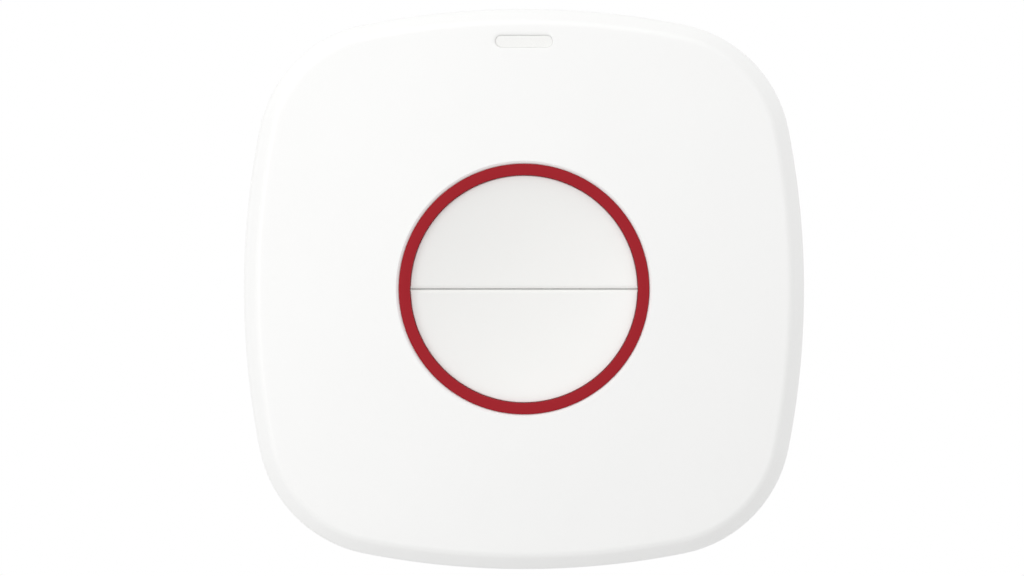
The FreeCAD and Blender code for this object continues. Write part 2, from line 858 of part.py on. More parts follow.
def battery_plus_contact():
    """Bent strip from the board down the side of the cell, bowed in to press on the can."""
    piece = Piece("battery_plus_contact")
    metal = s.contact_metal
    leg = well_outer - metal * 2
    touch = s.cell_radius + s.contact_touch
    foot = leg + metal + s.contact_foot
    middle = (cell_low + cell_top) / 2
    high, low = middle + s.contact_bow, middle - s.contact_bow
    piece.strip("Strip", s.contact_width, polygon(
        (foot, board_low), (leg, board_low), (leg, high), (touch, middle), (leg, low),
        (leg + metal, low), (touch + metal, middle), (leg + metal, high),
        (leg + metal, board_low - metal), (foot, board_low - metal)))
    return piece.finished()


def battery_minus_contact():
    """Leaf under the board that bends down to the middle of the cell's cap."""
    piece = Piece("battery_minus_contact")
    metal = s.contact_metal
    low = cell_top + s.contact_touch
    rise = low + s.spring_rise
    piece.strip("Leaf", s.contact_width, polygon(
        (-s.spring_foot, board_low), (-s.spring_foot, board_low - metal),
        (-s.spring_bend, board_low - metal), (-s.spring_touch, low), (s.spring_touch, low),
        (s.spring_tail, rise), (s.spring_tail, rise + metal), (s.spring_touch, low + metal),
        (-s.spring_touch, low + metal), (-s.spring_bend, board_low)))
    return piece.finished()


def circuit_board():
    """Board with the outline of the covers, clamped between the pillars and the bosses."""
    piece = Piece("circuit_board")
    piece.pad("Board", board_low, board_top, case_outline(board_inset))
    shank = s.case_screw_shank + s.case_screw_play
    piece.cut("ScrewHoles", board_low, board_top, *circles(case_screw_places, shank))
    return piece.finished()


def front_cavity():
    """The space inside the front cover, as a body that is taken out of it."""
    piece = Piece("front_cavity", flat=True)
    stock = s.case_depth + s.front_wall
    piece.pad("Space", s.parting_level - s.front_wall, stock, case_outline(s.front_wall))
    radius = s.crown_radius - s.front_wall
    reach = s.case_half + s.corner_radius
    piece.bore("Ceiling", domed(s.case_depth - s.crown_radius, radius, reach,
                                (reach, stock + s.front_wall), (0, stock + s.front_wall)))
    piece.blend("CeilingEdge", s.inner_blend, on_sphere)
    piece.finished()
    return piece


def front_cover():
    """Front half of the covers: a crowned and bevelled shell round the ring and the lamp slot."""
    piece = Piece("front_cover")
    stock = s.case_depth + s.front_wall
    reach = s.case_half + s.corner_radius
    piece.pad("Block", s.parting_level, stock, case_outline())
    piece.blend("PartingEdge", s.parting_edge, at_level(s.parting_level))
    piece.bore("Crown", domed(s.case_depth - s.crown_radius, s.crown_radius, reach,
                              (reach, stock + s.front_wall), (0, stock + s.front_wall)))
    piece.bevel("FrontBevel", s.bevel_depth, s.bevel_width, on_sphere)
    piece.blend("CrownEdge", s.crown_blend, on_sphere)
    wall_foot = s.parting_level + s.parting_edge
    piece.blend("WallEdge", s.bevel_blend, above_base(wall_foot, s.case_depth))
    piece.hollow("Inside", front_cavity())

    diagonal = case_screw_place * as_size(2).root()
    piece.pad("Collar", collar_low, crown_at(collar_outer, s.front_wall) + s.front_wall / 2,
              circle(0, 0, collar_outer))
    rib = piece.strip("Rib", s.rib_width, rectangle(
        collar_outer - s.collar_wall / 2, collar_low + s.rib_width / 4,
        diagonal - s.case_boss / 2, crown_at(collar_outer, s.front_wall)), start=as_size(45))
    piece.around("Ribs", as_size(4), rib)
    piece.pad("RingBosses", collar_low, crown_at(s.ring_screw_circle, s.front_wall) + s.front_wall / 2,
              *circles(ring_screw_places, s.ring_boss))
    piece.pad("CoverBosses", board_top, crown_at(diagonal, s.front_wall) + s.front_wall / 2,
              *circles(case_screw_places, s.case_boss))
    piece.pad("LampBoss", lamp_boss_low, crown_at(lamp_y, s.front_wall) + s.front_wall / 4, rectangle(
        -s.lamp_boss_half, lamp_y - s.lamp_boss_width / 2,
        s.lamp_boss_half, s.case_half - s.front_wall * 0.8))

    piece.cut("RingHole", collar_low, stock, circle(0, 0, cover_hole))
    piece.blend("HoleEdge", s.hole_edge, hole_on_sphere(cover_hole))
    piece.cut("LampSlot", lamp_boss_low, stock, rounded_slot(0, lamp_y, s.lamp_slot_half, s.lamp_slot_radius))
    piece.cut("RingPilots", collar_low, ring_screw_tip + s.pilot_spare,
              *circles(ring_screw_places, s.ring_screw_shank + s.pilot_play))
    piece.cut("CoverPilots", board_top, case_screw_tip + s.pilot_spare,
              *circles(case_screw_places, s.case_screw_shank + s.pilot_play))
    piece.cut("TongueStep", s.parting_level, s.parting_level + s.tongue_height + s.tongue_play,
              case_outline(tongue_inset - s.tongue_play))
    return piece.finished()


def button_ring():
    """Red ring round the buttons: a tube with a flange that is screwed up inside the cover."""
    piece = Piece("button_ring")
    ledge = collar_outer + s.ring_ledge
    piece.turn("Ring", polygon(
        (s.ring_bore, ring_low), (ledge, ring_low), (ledge, collar_low),
        (ring_outer, collar_low), (ring_outer, ring_top), (s.ring_bore, ring_top)))
    piece.blend("TopEdges", s.ring_edge, at_level(ring_top))
    piece.pad("ScrewLugs", ring_low, collar_low, *circles(ring_screw_places, s.ring_lug))
    piece.cut("ScrewHoles", ring_low, collar_low,
              *circles(ring_screw_places, s.ring_screw_shank + s.ring_screw_play))
    inner, outer = s.ring_bore - s.key_depth, s.ring_bore + s.ring_wall / 2
    half = s.key_width / 2
    piece.pad("Keys", ring_low, key_top, rectangle(inner, -half, outer, half),
              rectangle(-outer, -half, -inner, half))
    return piece.finished()


def button_cap(label, side):
    """Half-round button with a dished face, a stop below the ring and a post on its switch."""
    piece = Piece(label)
    radius = button_radius
    flange = radius + s.stop_reach
    centre = button_rim + (s.dish_radius * s.dish_radius - radius * radius).root()
    inner = radius - s.skirt_wall
    piece.turn("Cup", domed(
        centre, s.dish_radius, radius, (radius, stop_top), (flange, stop_top),
        (flange, stop_low), (inner, stop_low), (inner, button_under), (0, button_under)))
    split = s.split_gap / 2
    piece.cut("Split", stop_low, s.case_depth,
              rectangle(-far_outside, split * side, far_outside, -far_outside * side))
    half = radius - s.skirt_wall / 2
    piece.pad("SplitWall", stop_low, button_under,
              rectangle(-half, split * side, half, (split + s.skirt_wall) * side))
    piece.pad("Post", plunger_top, button_under, circle(0, s.switch_place * side, s.post_radius))
    half = s.skirt_wall / 2
    low = button_under - s.button_rib_height
    piece.pad("LongRib", low, button_under,
              rectangle(-half, (split + half) * side, half, (radius - half) * side))
    above = s.switch_place + half
    across = (radius * radius - above * above).root() - half
    piece.pad("CrossRib", low, button_under,
              rectangle(-across, (above - s.skirt_wall) * side, across, above * side))
    notch = s.ring_bore - s.key_depth - s.key_play
    edge = (s.key_width / 2 + s.key_play) * side
    piece.cut("KeyNotches", stop_low, key_top + s.press_travel + s.key_play,
              rectangle(notch, 0, flange + s.key_play, edge),
              rectangle(-flange - s.key_play, 0, -notch, edge))
    piece.blend("FaceEdges", s.button_blend, on_sphere)
    return piece.finished()


def screws(label, places, shank, head, head_height, seat, tip, slot, slot_half, slot_depth):
    """Alike screws as one group: pan heads with crossed slots below their seat, plain shanks."""
    piece = Piece(label)
    low = seat - head_height
    piece.pad("Heads", low, seat, *circles(places, head))
    piece.blend("HeadEdges", head_height / 3, round_at(head, low))
    piece.pad("Shanks", seat, tip, *circles(places, shank))
    piece.bevel("Tips", shank, shank / 2, round_at(shank, tip))
    across = [centred(x, y, slot_half, slot / 2) for x, y in places]
    down = [centred(x, y, slot / 2, slot_half) for x, y in places]
    piece.cut("SlotsAcross", low, low + slot_depth, *across)
    piece.cut("SlotsDown", low, low + slot_depth, *down)
    return piece.finished()


def light_pipe():
    """Clear bar in the lamp slot, with a flange under the cover and two legs on the board."""
    piece = Piece("light_pipe")
    flange_top = lamp_boss_low - s.plunger_play
    flange_low = flange_top - s.pipe_flange
    half = s.pipe_flange_half
    radius = s.lamp_slot_radius - s.lamp_play
    piece.pad("Flange", flange_low, flange_top, centred(0, lamp_y, half, s.pipe_flange_width / 2))
    bar = rounded_slot(0, lamp_y, s.lamp_slot_half - s.lamp_play, radius)
    window_top = crown_at(lamp_y) - s.lamp_sink
    piece.pad("Bar", flange_top, window_top, bar)
    piece.blend("WindowEdge", s.lamp_edge, at_level(window_top))
    piece.pad("Foot", lamp_top + s.lamp_gap, flange_low,
              rounded_slot(0, lamp_y, s.lamp_length, radius))
    leg = s.pipe_leg / 2
    legs = [centred((half - leg) * side, lamp_y, leg, leg) for side in (1, -1)]
    piece.pad("Legs", board_top, flange_low, *legs)
    return piece.finished()


def switch_terminals():
    """The eight bent terminals that solder the two switches to the board."""
    piece = Piece("switch_terminals")
    feet, risers = [], []
    for side in (1, -1):
        for across in (1, -1):
            for along in (1, -1):
                y = (s.switch_place + s.terminal_place * along) * side
                low, high = y - s.terminal_width / 2, y + s.terminal_width / 2
                near = s.switch_half * across
                bend = (s.switch_half + s.terminal_metal) * across
                far = (s.switch_half + s.terminal_reach) * across
                feet.append(rectangle(near, low, far, high))
                risers.append(rectangle(near, low, bend, high))
    piece.pad("Feet", board_top, board_top + s.terminal_metal, *feet)
    piece.pad("Risers", board_top + s.terminal_metal, board_top + s.terminal_height, *risers)
    return piece.finished()


def place(thing, x, y, level, upright=True):
    """Put an object at a place and level; upright stands it against the wall."""
    x, y, level = as_size(x), as_size(y), as_size(level)
    if upright:
        thing.Placement.Rotation = UPRIGHT
        x, y, level = x, -level, y
    tie(thing, "Placement.Base.x", x)
    tie(thing, "Placement.Base.y", y)
    tie(thing, "Placement.Base.z", level)
    return thing


def block(name, length, width, height, x=ZERO, y=ZERO, low=ZERO):
    """A box round a place, from a level up."""
    box = doc.addObject("Part::Box", name)
    for side, size in (("Length", length), ("Width", width), ("Height", height)):
        tie(box, side, size)
    return place(box, x - length / 2, y - width / 2, low, upright=False)


def rod(name, radius, height, low=ZERO):
    """A cylinder on the middle, from a level up."""
    cylinder = doc.addObject("Part::Cylinder", name)
    tie(cylinder, "Radius", radius)
    tie(cylinder, "Height", height)
    return place(cylinder, ZERO, ZERO, low, upright=False)


def joined(name, *parts):
    whole = doc.addObject("Part::MultiFuse", name)
    whole.Shapes = list(parts)
    return whole


def without(name, base, tool):
    rest = doc.addObject("Part::Cut", name)
    rest.Base = base
    rest.Tool = tool
    return rest


def named(thing, label):
    thing.Label = label
    return thing


def switch_base(label, side):
    """Moulded body of a push switch, with the round well that its plunger sinks into."""
    width = s.switch_half * 2
    body = block(f"{label}_block", width, width, s.switch_base)
    well = rod(f"{label}_well", s.switch_well_radius, s.switch_well, s.switch_base - s.switch_well)
    return place(named(without(f"{label}_body", body, well), label), 0, s.switch_place * side, board_top)


def switch_frame(label, side):
    """Sheet steel lid of a push switch, with a clip folded down each side."""
    width = s.switch_half * 2
    lid = block(f"{label}_lid", width + s.clip_metal * 2, width, s.switch_lid)
    clips = [block(f"{label}_clip_{name}", s.clip_metal, s.clip_width, s.clip_drop,
                   (s.switch_half + s.clip_metal / 2) * across, ZERO, -s.clip_drop)
             for name, across in (("right", 1), ("left", -1))]
    hole = rod(f"{label}_hole", s.plunger_radius + s.plunger_room, s.switch_lid)
    sheet = without(f"{label}_sheet", joined(f"{label}_folded", lid, *clips), hole)
    return place(named(sheet, label), 0, s.switch_place * side, switch_top)


def switch_plunger(label, side):
    """Plunger of a push switch; its flange keeps it under the lid."""
    low = switch_top - s.plunger_play - s.plunger_flange
    flange = rod(f"{label}_flange", s.plunger_flange_radius, s.plunger_flange)
    stem = rod(f"{label}_stem", s.plunger_radius, plunger_top - low)
    return place(named(joined(f"{label}_turned", flange, stem), label), 0, s.switch_place * side, low)


def led_indicator():
    """Status lamp on the board, under the light pipe."""
    carrier = block("lamp_carrier", s.lamp_length, s.lamp_width, s.lamp_height / 2)
    lens = block("lamp_lens", s.lamp_length * 0.6, s.lamp_width, s.lamp_height)
    return place(named(joined("lamp", carrier, lens), "led_indicator"), 0, lamp_y, board_top)


def radio_chip():
    """Flat square radio chip, with a dimple at its first terminal."""
    body = block("chip_body", s.chip_side, s.chip_side, s.chip_height)
    dimple = rod("chip_dimple", s.mark_radius, s.mark_depth, s.chip_height - s.mark_depth)
    corner = s.mark_radius * 2 - s.chip_side / 2
    place(dimple, corner, -corner, s.chip_height - s.mark_depth, upright=False)
    return place(named(without("chip", body, dimple), "radio_chip"), chip_x, s.chip_y, board_top)


def crystal():
    """Clock crystal: a ceramic tub with a metal lid."""
    tub = block("crystal_tub", s.crystal_length, s.crystal_width, s.crystal_base)
    margin = s.crystal_lid
    lid = block("crystal_cover", s.crystal_length - margin, s.crystal_width - margin, s.crystal_lid,
                low=s.crystal_base)
    return place(named(joined("crystal_can", tub, lid), "crystal"), chip_x, s.crystal_y, board_top)


def chip_capacitors():
    """Two columns of small capacitors beside the radio chip."""
    blocks = []
    for column in range(2):
        for row in range(4):
            x = s.capacitor_pitch * 1.5 * column
            y = s.capacitor_pitch * row
            blocks.append(block(f"capacitor_{column}_{row}", s.capacitor_length, s.capacitor_width,
                                s.capacitor_width, x, y))
    group = doc.addObject("Part::Compound", "capacitors")
    group.Links = blocks
    return place(named(group, "chip_capacitors"), chip_x - s.capacitor_pitch, s.capacitor_row, board_top)


def antenna_coil():
    """Spring antenna lying on the board: a helix, with a leg down to the board from each end."""
    turns = doc.addObject("Part::Helix", "coil_path")
    tie(turns, "Pitch", s.coil_pitch)
    tie(turns, "Height", s.coil_length)
    tie(turns, "Radius", s.coil_radius)
    section = doc.addObject("Part::Circle", "coil_section")
    tie(section, "Radius", s.coil_wire)
    section.Placement.Rotation = UPRIGHT
    tie(section, "Placement.Base.x", s.coil_radius)
    doc.recompute()
    coil = doc.addObject("Part::Sweep", "coil_turns")
    coil.Sections = [section]
    coil.Spine = (turns, [f"Edge{number + 1}" for number in range(len(turns.Shape.Edges))])
    coil.Solid = True
    coil.Frenet = True
    legs = []
    for name, end in (("low", ZERO), ("high", s.coil_length)):
        leg = doc.addObject("Part::Cylinder", f"coil_leg_{name}")
        x, y = polar(s.coil_radius, end / s.coil_pitch * 360)
        tie(leg, "Radius", s.coil_wire)
        tie(leg, "Height", s.coil_radius + s.coil_wire - y)
        leg.Placement.Rotation = Rotation(Vector(1, 0, 0), -90)
        tie(leg, "Placement.Base.x", x)
        tie(leg, "Placement.Base.y", y)
        tie(leg, "Placement.Base.z", end)
        legs.append(leg)
    whole = named(joined("coil", coil, *legs), "antenna_coil")
    tie(whole, "Placement.Base.x", coil_x)
    tie(whole, "Placement.Base.y", -(board_top + s.coil_radius + s.coil_wire))
    tie(whole, "Placement.Base.z", -s.coil_length / 2)
    return whole


def all_pieces():
    """Every sub-part, from the wall outwards."""
    pieces = [
        wall_bracket(), rear_cover(), battery_door(), coin_cell(),
        battery_plus_contact(), battery_minus_contact(),
        circuit_board(), radio_chip(), crystal(), chip_capacitors(), antenna_coil(),
        led_indicator(), light_pipe(), switch_terminals(), front_cover(), button_ring(),
        screws("case_screws", case_screw_places, s.case_screw_shank, s.case_screw_head,
               s.case_screw_head_height, case_screw_seat, case_screw_tip,
               s.case_screw_slot, s.case_screw_slot_half, s.case_screw_slot_depth),
        screws("ring_screws", ring_screw_places, s.ring_screw_shank, s.ring_screw_head,
               s.ring_screw_head_height, ring_low, ring_screw_tip,
               s.ring_screw_slot, s.ring_screw_slot_half, s.ring_screw_slot_depth),
    ]
    for name, side in (("upper", 1), ("lower", -1)):
        pieces += [
            switch_base(f"{name}_switch_base", side), switch_frame(f"{name}_switch_frame", side),
            switch_plunger(f"{name}_switch_plunger", side), button_cap(f"{name}_button_cap", side),
        ]
    return pieces


def check(pieces):
    """Stop before anything is written if a feature failed or a piece has no sound shape."""
    for item in doc.Objects:
        if {"Invalid", "Error"} & set(item.State):
            raise RuntimeError(f"{item.Name} is {item.State}")
    for piece in pieces:
        if piece.Shape.isNull() or not piece.Shape.isValid():
            raise RuntimeError(f"{piece.Label} has no sound shape")


pieces = all_pieces()
doc.recompute()
check(pieces)
os.makedirs("parts", exist_ok=True)
for piece in pieces:
    piece.Shape.exportStep(f"parts/{piece.Label}.step")
    box = piece.Shape.BoundBox
    print(f"{piece.Label:24} solids {len(piece.Shape.Solids)}  volume {piece.Shape.Volume:9.2f}"
          f"  x {box.XMin:7.2f} {box.XMax:7.2f}  y {box.YMin:7.2f} {box.YMax:7.2f}"
          f"  z {box.ZMin:7.2f} {box.ZMax:7.2f}")
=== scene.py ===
# %% [markdown]
# # A wall button, from its frame to its picture
# The object is a small white call button: two moulded covers, a red ring, two half-round buttons and a
# wall bracket. Its solid pieces come ready, at their true size and place. What is left to do here is
# how they look: finer edges on the pieces that catch the light, the plastics and metals, the lamps,
# the floor and the camera.

import json
import math

import bmesh
import bpy
from mathutils import Matrix, Vector


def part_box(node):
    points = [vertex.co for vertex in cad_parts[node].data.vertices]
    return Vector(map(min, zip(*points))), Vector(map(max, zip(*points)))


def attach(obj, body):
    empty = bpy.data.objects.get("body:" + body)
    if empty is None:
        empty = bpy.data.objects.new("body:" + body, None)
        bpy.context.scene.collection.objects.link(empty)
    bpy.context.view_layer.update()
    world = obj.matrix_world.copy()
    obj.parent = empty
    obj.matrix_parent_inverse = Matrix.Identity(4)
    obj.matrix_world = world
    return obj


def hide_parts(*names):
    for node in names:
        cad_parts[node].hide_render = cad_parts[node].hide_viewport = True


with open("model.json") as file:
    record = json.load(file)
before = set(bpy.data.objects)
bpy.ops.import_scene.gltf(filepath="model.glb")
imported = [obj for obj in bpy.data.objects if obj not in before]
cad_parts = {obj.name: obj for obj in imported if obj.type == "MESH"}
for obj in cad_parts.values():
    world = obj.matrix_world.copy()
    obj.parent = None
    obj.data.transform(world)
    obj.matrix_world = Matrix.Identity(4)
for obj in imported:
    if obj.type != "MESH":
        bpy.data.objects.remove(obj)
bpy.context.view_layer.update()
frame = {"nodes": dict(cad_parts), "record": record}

# %% [markdown]
# Blender works in metres and this object is measured in millimetres, so one named unit keeps the
# numbers readable. Colours are written as they look on a screen, and one function turns them into the
# linear values that a renderer adds and multiplies. Two more make an object and a mesh.

# %% Units, colours and objects
mm = 0.001


def linear(written):
    """A colour written as six hex digits, as linear red, green, blue and full alpha."""
    channels = [int(written[start:start + 2], 16) / 255 for start in (0, 2, 4)]
    return [c / 12.92 if c <= 0.04045 else ((c + 0.055) / 1.055) ** 2.4 for c in channels] + [1.0]


def stand(name, data):
    """A new object in the scene, with its data."""
    thing = bpy.data.objects.new(name, data)
    bpy.context.scene.collection.objects.link(thing)
    return thing


def as_mesh(shape, name):
    """A drawn shape as a mesh."""
    mesh = bpy.data.meshes.new(name)
    shape.to_mesh(mesh)
    shape.free()
    return mesh


white = linear("FFFFFF")
print("middle grey 808080 is", round(linear("808080")[0], 3), "in linear light")

# %% [markdown]
# ## The camera
# The photo looks straight at the front of the button from some distance, so its sides don't show and
# its edges stay parallel. A long lens gives that. The button's width in the photo and its real width
# fix the scale, and the scale, the lens and the film width fix how far away the camera stands.

# %% Stand the camera where the photo was taken
photo_width, photo_height = 1024, 576
photo_left, photo_right, photo_top, photo_bottom = 244, 804, 8, 570
cover_low, cover_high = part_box("front_cover")
widest_level = 11.5 * mm
pixel = (cover_high.x - cover_low.x) / (photo_right - photo_left)

camera = bpy.data.cameras.new("camera")
camera.lens = 500
camera.clip_start = 0.01
camera.clip_end = 20
camera_object = stand("camera", camera)
bpy.context.scene.camera = camera_object
distance = pixel * photo_width * camera.lens / camera.sensor_width
camera_object.location = (
    (photo_width - photo_left - photo_right) / 2 * pixel,
    -widest_level - distance,
    (photo_top + photo_bottom - photo_height) / 2 * pixel)
camera_object.rotation_euler = (math.pi / 2, 0, 0)
bpy.context.scene.view_settings.view_transform = "Standard"
print("one photo pixel is", round(pixel / mm, 4), "mm; the camera stands", round(distance, 4), "m away")

# %% [markdown]
# ## Nodes
# Every material is a small graph of nodes. One helper adds a node: its settings are plain keywords,
# and each input is given either a value or the output of another node. The same helper serves the
# world, because a world is a graph too. The world and the floor are brighter to what looks at them
# than to what they light, so they share the few nodes that tell those rays apart.

# %% A helper that adds a node
finishes = {}


def add(owner, kind, inputs=None, **settings):
    """One node in a material or a world, with its settings, values and links."""
    tree = owner.node_tree
    made = tree.nodes.new(kind)
    for name, value in settings.items():
        setattr(made, name, value)
    for name, value in (inputs or {}).items():
        if isinstance(value, bpy.types.NodeSocket):
            tree.links.new(value, made.inputs[name])
        else:
            made.inputs[name].default_value = value
    return made


def looked_at(owner):
    """1 for rays that look at a thing, also mirrored or through it, and 0 for rays that gather light."""
    rays = add(owner, "ShaderNodeLightPath").outputs
    seen = rays["Is Camera Ray"]
    for kind in ("Is Glossy Ray", "Is Transmission Ray"):
        seen = add(owner, "ShaderNodeMath", {0: seen, 1: rays[kind]}, operation="MAXIMUM").outputs[0]
    return seen


def surface(name):
    """An empty material, and the place of each point on the object in metres."""
    material = bpy.data.materials.new(name)
    material.use_nodes = True
    material.node_tree.nodes.clear()
    return material, add(material, "ShaderNodeTexCoord").outputs["Object"]


def finish_with(material, shader, slot=None):
    """Send a shader to the material's output, and note the record's name for it if it has one."""
    add(material, "ShaderNodeOutputMaterial", {"Surface": shader.outputs[0]})
    if slot:
        finishes[slot] = material
    print("material", material.name, "has", len(material.node_tree.nodes), "nodes")


# %% [markdown]
# ## Light
# The photo is a studio picture on white: light comes from everywhere, a little more from the left and
# from above, so the crowned front fades from left to right and its lower rim is the darker one. A
# world of even light does the first. The white that the camera sees behind the object is only for
# rays that look at it: the rays that gather light get a weaker one, so the white plastic keeps its
# shape and doesn't burn out.

# %% The world
world = bpy.data.worlds.new("studio")
world.use_nodes = True
world.node_tree.nodes.clear()
bpy.context.scene.world = world
world_light = 0.87
level = add(world, "ShaderNodeMapRange", {"Value": looked_at(world), "To Min": world_light, "To Max": 1.0})
sky = add(world, "ShaderNodeBackground", {"Color": white, "Strength": level.outputs["Result"]})
add(world, "ShaderNodeOutputWorld", {"Surface": sky.outputs[0]})
print("the world is 1 to what looks at it and", world_light, "to what it lights")

# %% [markdown]
# Two round lamps do the rest. The one at the left is small and stands near, so the front fades from
# left to right, and the ring and the slot get a thin shade on that side. The one above is wide, which
# keeps the shade under the lower rim soft.

# %% The lamps
def lamp(name, place, width, power):
    """A round soft lamp that looks at the middle of the button."""
    light = bpy.data.lights.new(name, "AREA")
    light.shape = "DISK"
    light.size = width
    light.energy = power
    holder = stand(name, light)
    holder.location = Vector(place)
    holder.rotation_euler = (-holder.location).to_track_quat("-Z", "Y").to_euler()
    print("lamp", name, "stands", round(holder.location.length, 2), "m away")


lamp("left", (-0.30, -0.30, 0.0), width=0.10, power=0.28)
lamp("ceiling", (0, -0.20, 0.50), width=0.40, power=0.43)

# %% [markdown]
# ## The floor
# The button hangs on a wall at a height of its own, and a pale floor below it gives the other views
# something to stand over. It is dull and nearly white. The rays that look at it get a little light
# of its own on top, so that it reads as the photo's white ground and still keeps a shadow. It ends
# before it would come into the photo's view.

# %% The floor
floor_level = -60 * mm
floor_width = 1.6
floor_glow = 0.25
mottle_size = 40 * mm
shape = bmesh.new()
bmesh.ops.create_grid(shape, x_segments=1, y_segments=1, size=floor_width / 2)
bmesh.ops.translate(shape, verts=shape.verts, vec=(0, 0, floor_level))
floor = stand("floor", as_mesh(shape, "floor"))

floor_paint, place = surface("matt_floor_paint")
mottle = add(floor_paint, "ShaderNodeTexNoise", {"Vector": place, "Scale": 1 / mottle_size, "Detail": 2.0})
colour = add(floor_paint, "ShaderNodeMix", {
    "Factor": mottle.outputs["Fac"], "A": linear("E2E2E2"), "B": linear("E5E5E5")}, data_type="RGBA")
dull = add(floor_paint, "ShaderNodeBsdfDiffuse", {"Color": colour.outputs["Result"]})
own_light = add(floor_paint, "ShaderNodeMapRange", {
    "Value": looked_at(floor_paint), "To Min": 0.0, "To Max": floor_glow})
glow = add(floor_paint, "ShaderNodeEmission", {"Color": white, "Strength": own_light.outputs["Result"]})
finish_with(floor_paint, add(floor_paint, "ShaderNodeAddShader", {0: dull.outputs[0], 1: glow.outputs[0]}))
floor.data.materials.append(floor_paint)

# %% [markdown]
# ## Plastics
# The covers are injection-moulded ABS. The steel of their tool was spark-eroded, so their skin
# has a fine even grain that spreads the light, and the plastic flowed as it filled the tool, so its
# white varies a very little over a few millimetres. Both come from noise: a slow one for the colour,
# and a fine one for the gloss and the bump. All the moulded plastics here share that recipe.

# %% Moulded plastic
flow_size = 9 * mm
plastic_swing = 0.04


def moulded(slot, name, light, dark, roughness, grain, depth, ior, **extra):
    """A moulded plastic: faint flow in its colour, and the grain of the tool's steel on its skin."""
    material, place = surface(name)
    flow = add(material, "ShaderNodeTexNoise", {"Vector": place, "Scale": 1 / flow_size, "Detail": 2.0})
    colour = add(material, "ShaderNodeMix", {
        "Factor": flow.outputs["Fac"], "A": linear(dark), "B": linear(light)}, data_type="RGBA")
    skin = add(material, "ShaderNodeTexNoise", {
        "Vector": place, "Scale": 1 / grain, "Detail": 3.0}).outputs["Fac"]
    rough = add(material, "ShaderNodeMapRange", {
        "Value": skin, "To Min": roughness - plastic_swing, "To Max": roughness + plastic_swing})
    bump = add(material, "ShaderNodeBump", {"Height": skin, "Distance": depth, "Strength": 1.0})
    finish_with(material, add(material, "ShaderNodeBsdfPrincipled", {
        "Base Color": colour.outputs["Result"], "Roughness": rough.outputs["Result"], "IOR": ior,
        "Normal": bump.outputs["Normal"], **extra}), slot)


# Spark-eroded ABS: a soft, wide shine and no sparkle.
moulded("cover_plastic", "white_abs_spark_grained", "F8F8F7", "F6F6F5", 0.46, 0.25 * mm, 0.002 * mm, 1.53)
# The bracket comes from a coarser tool: duller, with a grain that shows when close.
moulded("bracket_plastic", "white_abs_coarse_grained", "F1F1EF", "EDEDEB", 0.56, 0.4 * mm, 0.006 * mm, 1.53)
# The ring is coloured through and comes from a smoother tool, so its grain is shallower and glossier.
moulded("ring_plastic", "red_abs_smooth_moulded", "A01B26", "9C1923", 0.38, 0.3 * mm, 0.0015 * mm, 1.53,
        **{"Specular IOR Level": 0.15})
# The buttons are a white a little darker than the covers', from a finely finished tool.
moulded("button_plastic", "white_abs_fine_moulded", "F4F4F2", "F2F2F0", 0.40, 0.25 * mm, 0.001 * mm, 1.53)
# Milky polycarbonate from a polished tool: the finest grain of all, and hardly any depth in it.
moulded("pipe_plastic", "milky_polycarbonate_moulded", "F6F6F4", "F4F4F2", 0.28, 0.08 * mm, 0.0001 * mm,
        1.585)
# Black glass-filled PBT, for the bodies of the two push switches.
moulded("switch_plastic", "black_pbt_glass_filled", "222325", "1C1D1F", 0.5, 0.12 * mm, 0.004 * mm, 1.58)
# Acetal is slippery and slightly waxy, for the plungers.
moulded("plunger_plastic", "grey_acetal_moulded", "6B6D70", "636568", 0.34, 0.2 * mm, 0.001 * mm, 1.48)
# The radio chip is pressed from epoxy full of silica, which leaves it dull and finely speckled.
moulded("chip_epoxy", "black_epoxy_pressed", "2B2C2E", "1F2022", 0.6, 0.08 * mm, 0.003 * mm, 1.55)
# The lamp's lens is cast epoxy over yellow phosphor.
moulded("lamp_plastic", "yellow_epoxy_cast", "F2E27A", "E9D566", 0.18, 0.3 * mm, 0.0005 * mm, 1.53)

# %% [markdown]
# ## Metals
# A rolled, drawn or stamped metal has fine lines along the way it was worked. A noise that is
# stretched along that way draws them: its scale is small along the lines and large across them. The
# lines change the gloss and tilt the skin a little, and the colour hardly at all.

# %% Worked metal
metal_swing = 0.07


def worked(slot, name, light, dark, roughness, lines, stretch, depth):
    """A metal with lines some distance apart, drawn out along one direction."""
    material, place = surface(name)
    drawn = add(material, "ShaderNodeMapping", {"Vector": place, "Scale": stretch})
    streaks = add(material, "ShaderNodeTexNoise", {
        "Vector": drawn.outputs[0], "Scale": 1 / lines, "Detail": 2.0}).outputs["Fac"]
    colour = add(material, "ShaderNodeMix", {
        "Factor": streaks, "A": linear(dark), "B": linear(light)}, data_type="RGBA")
    rough = add(material, "ShaderNodeMapRange", {
        "Value": streaks, "To Min": roughness - metal_swing, "To Max": roughness + metal_swing})
    bump = add(material, "ShaderNodeBump", {"Height": streaks, "Distance": depth, "Strength": 1.0})
    finish_with(material, add(material, "ShaderNodeBsdfPrincipled", {
        "Base Color": colour.outputs["Result"], "Metallic": 1.0, "Roughness": rough.outputs["Result"],
        "Normal": bump.outputs["Normal"]}), slot)


along_x, along_y, along_z, no_way = (0.06, 1, 1), (1, 0.06, 1), (1, 1, 0.06), (1, 1, 1)
# The cell's can is nickel-plated steel drawn into a cup: bright, with faint lines up its side.
worked("cell_steel", "nickel_plated_drawn_steel", "D3D2CC", "C4C3BD", 0.26, 0.15 * mm, along_y, 0.001 * mm)
# Contacts are stamped from rolled phosphor bronze and tinned, so they are grey with a warm edge.
worked("contact_steel", "tinned_rolled_bronze", "CFC9BB", "BDB5A4", 0.3, 0.1 * mm, along_z, 0.001 * mm)
# The switch lids are stamped from rolled stainless steel.
worked("switch_steel", "stainless_stamped_sheet", "C6C7C8", "B6B8BA", 0.3, 0.08 * mm, along_x, 0.001 * mm)
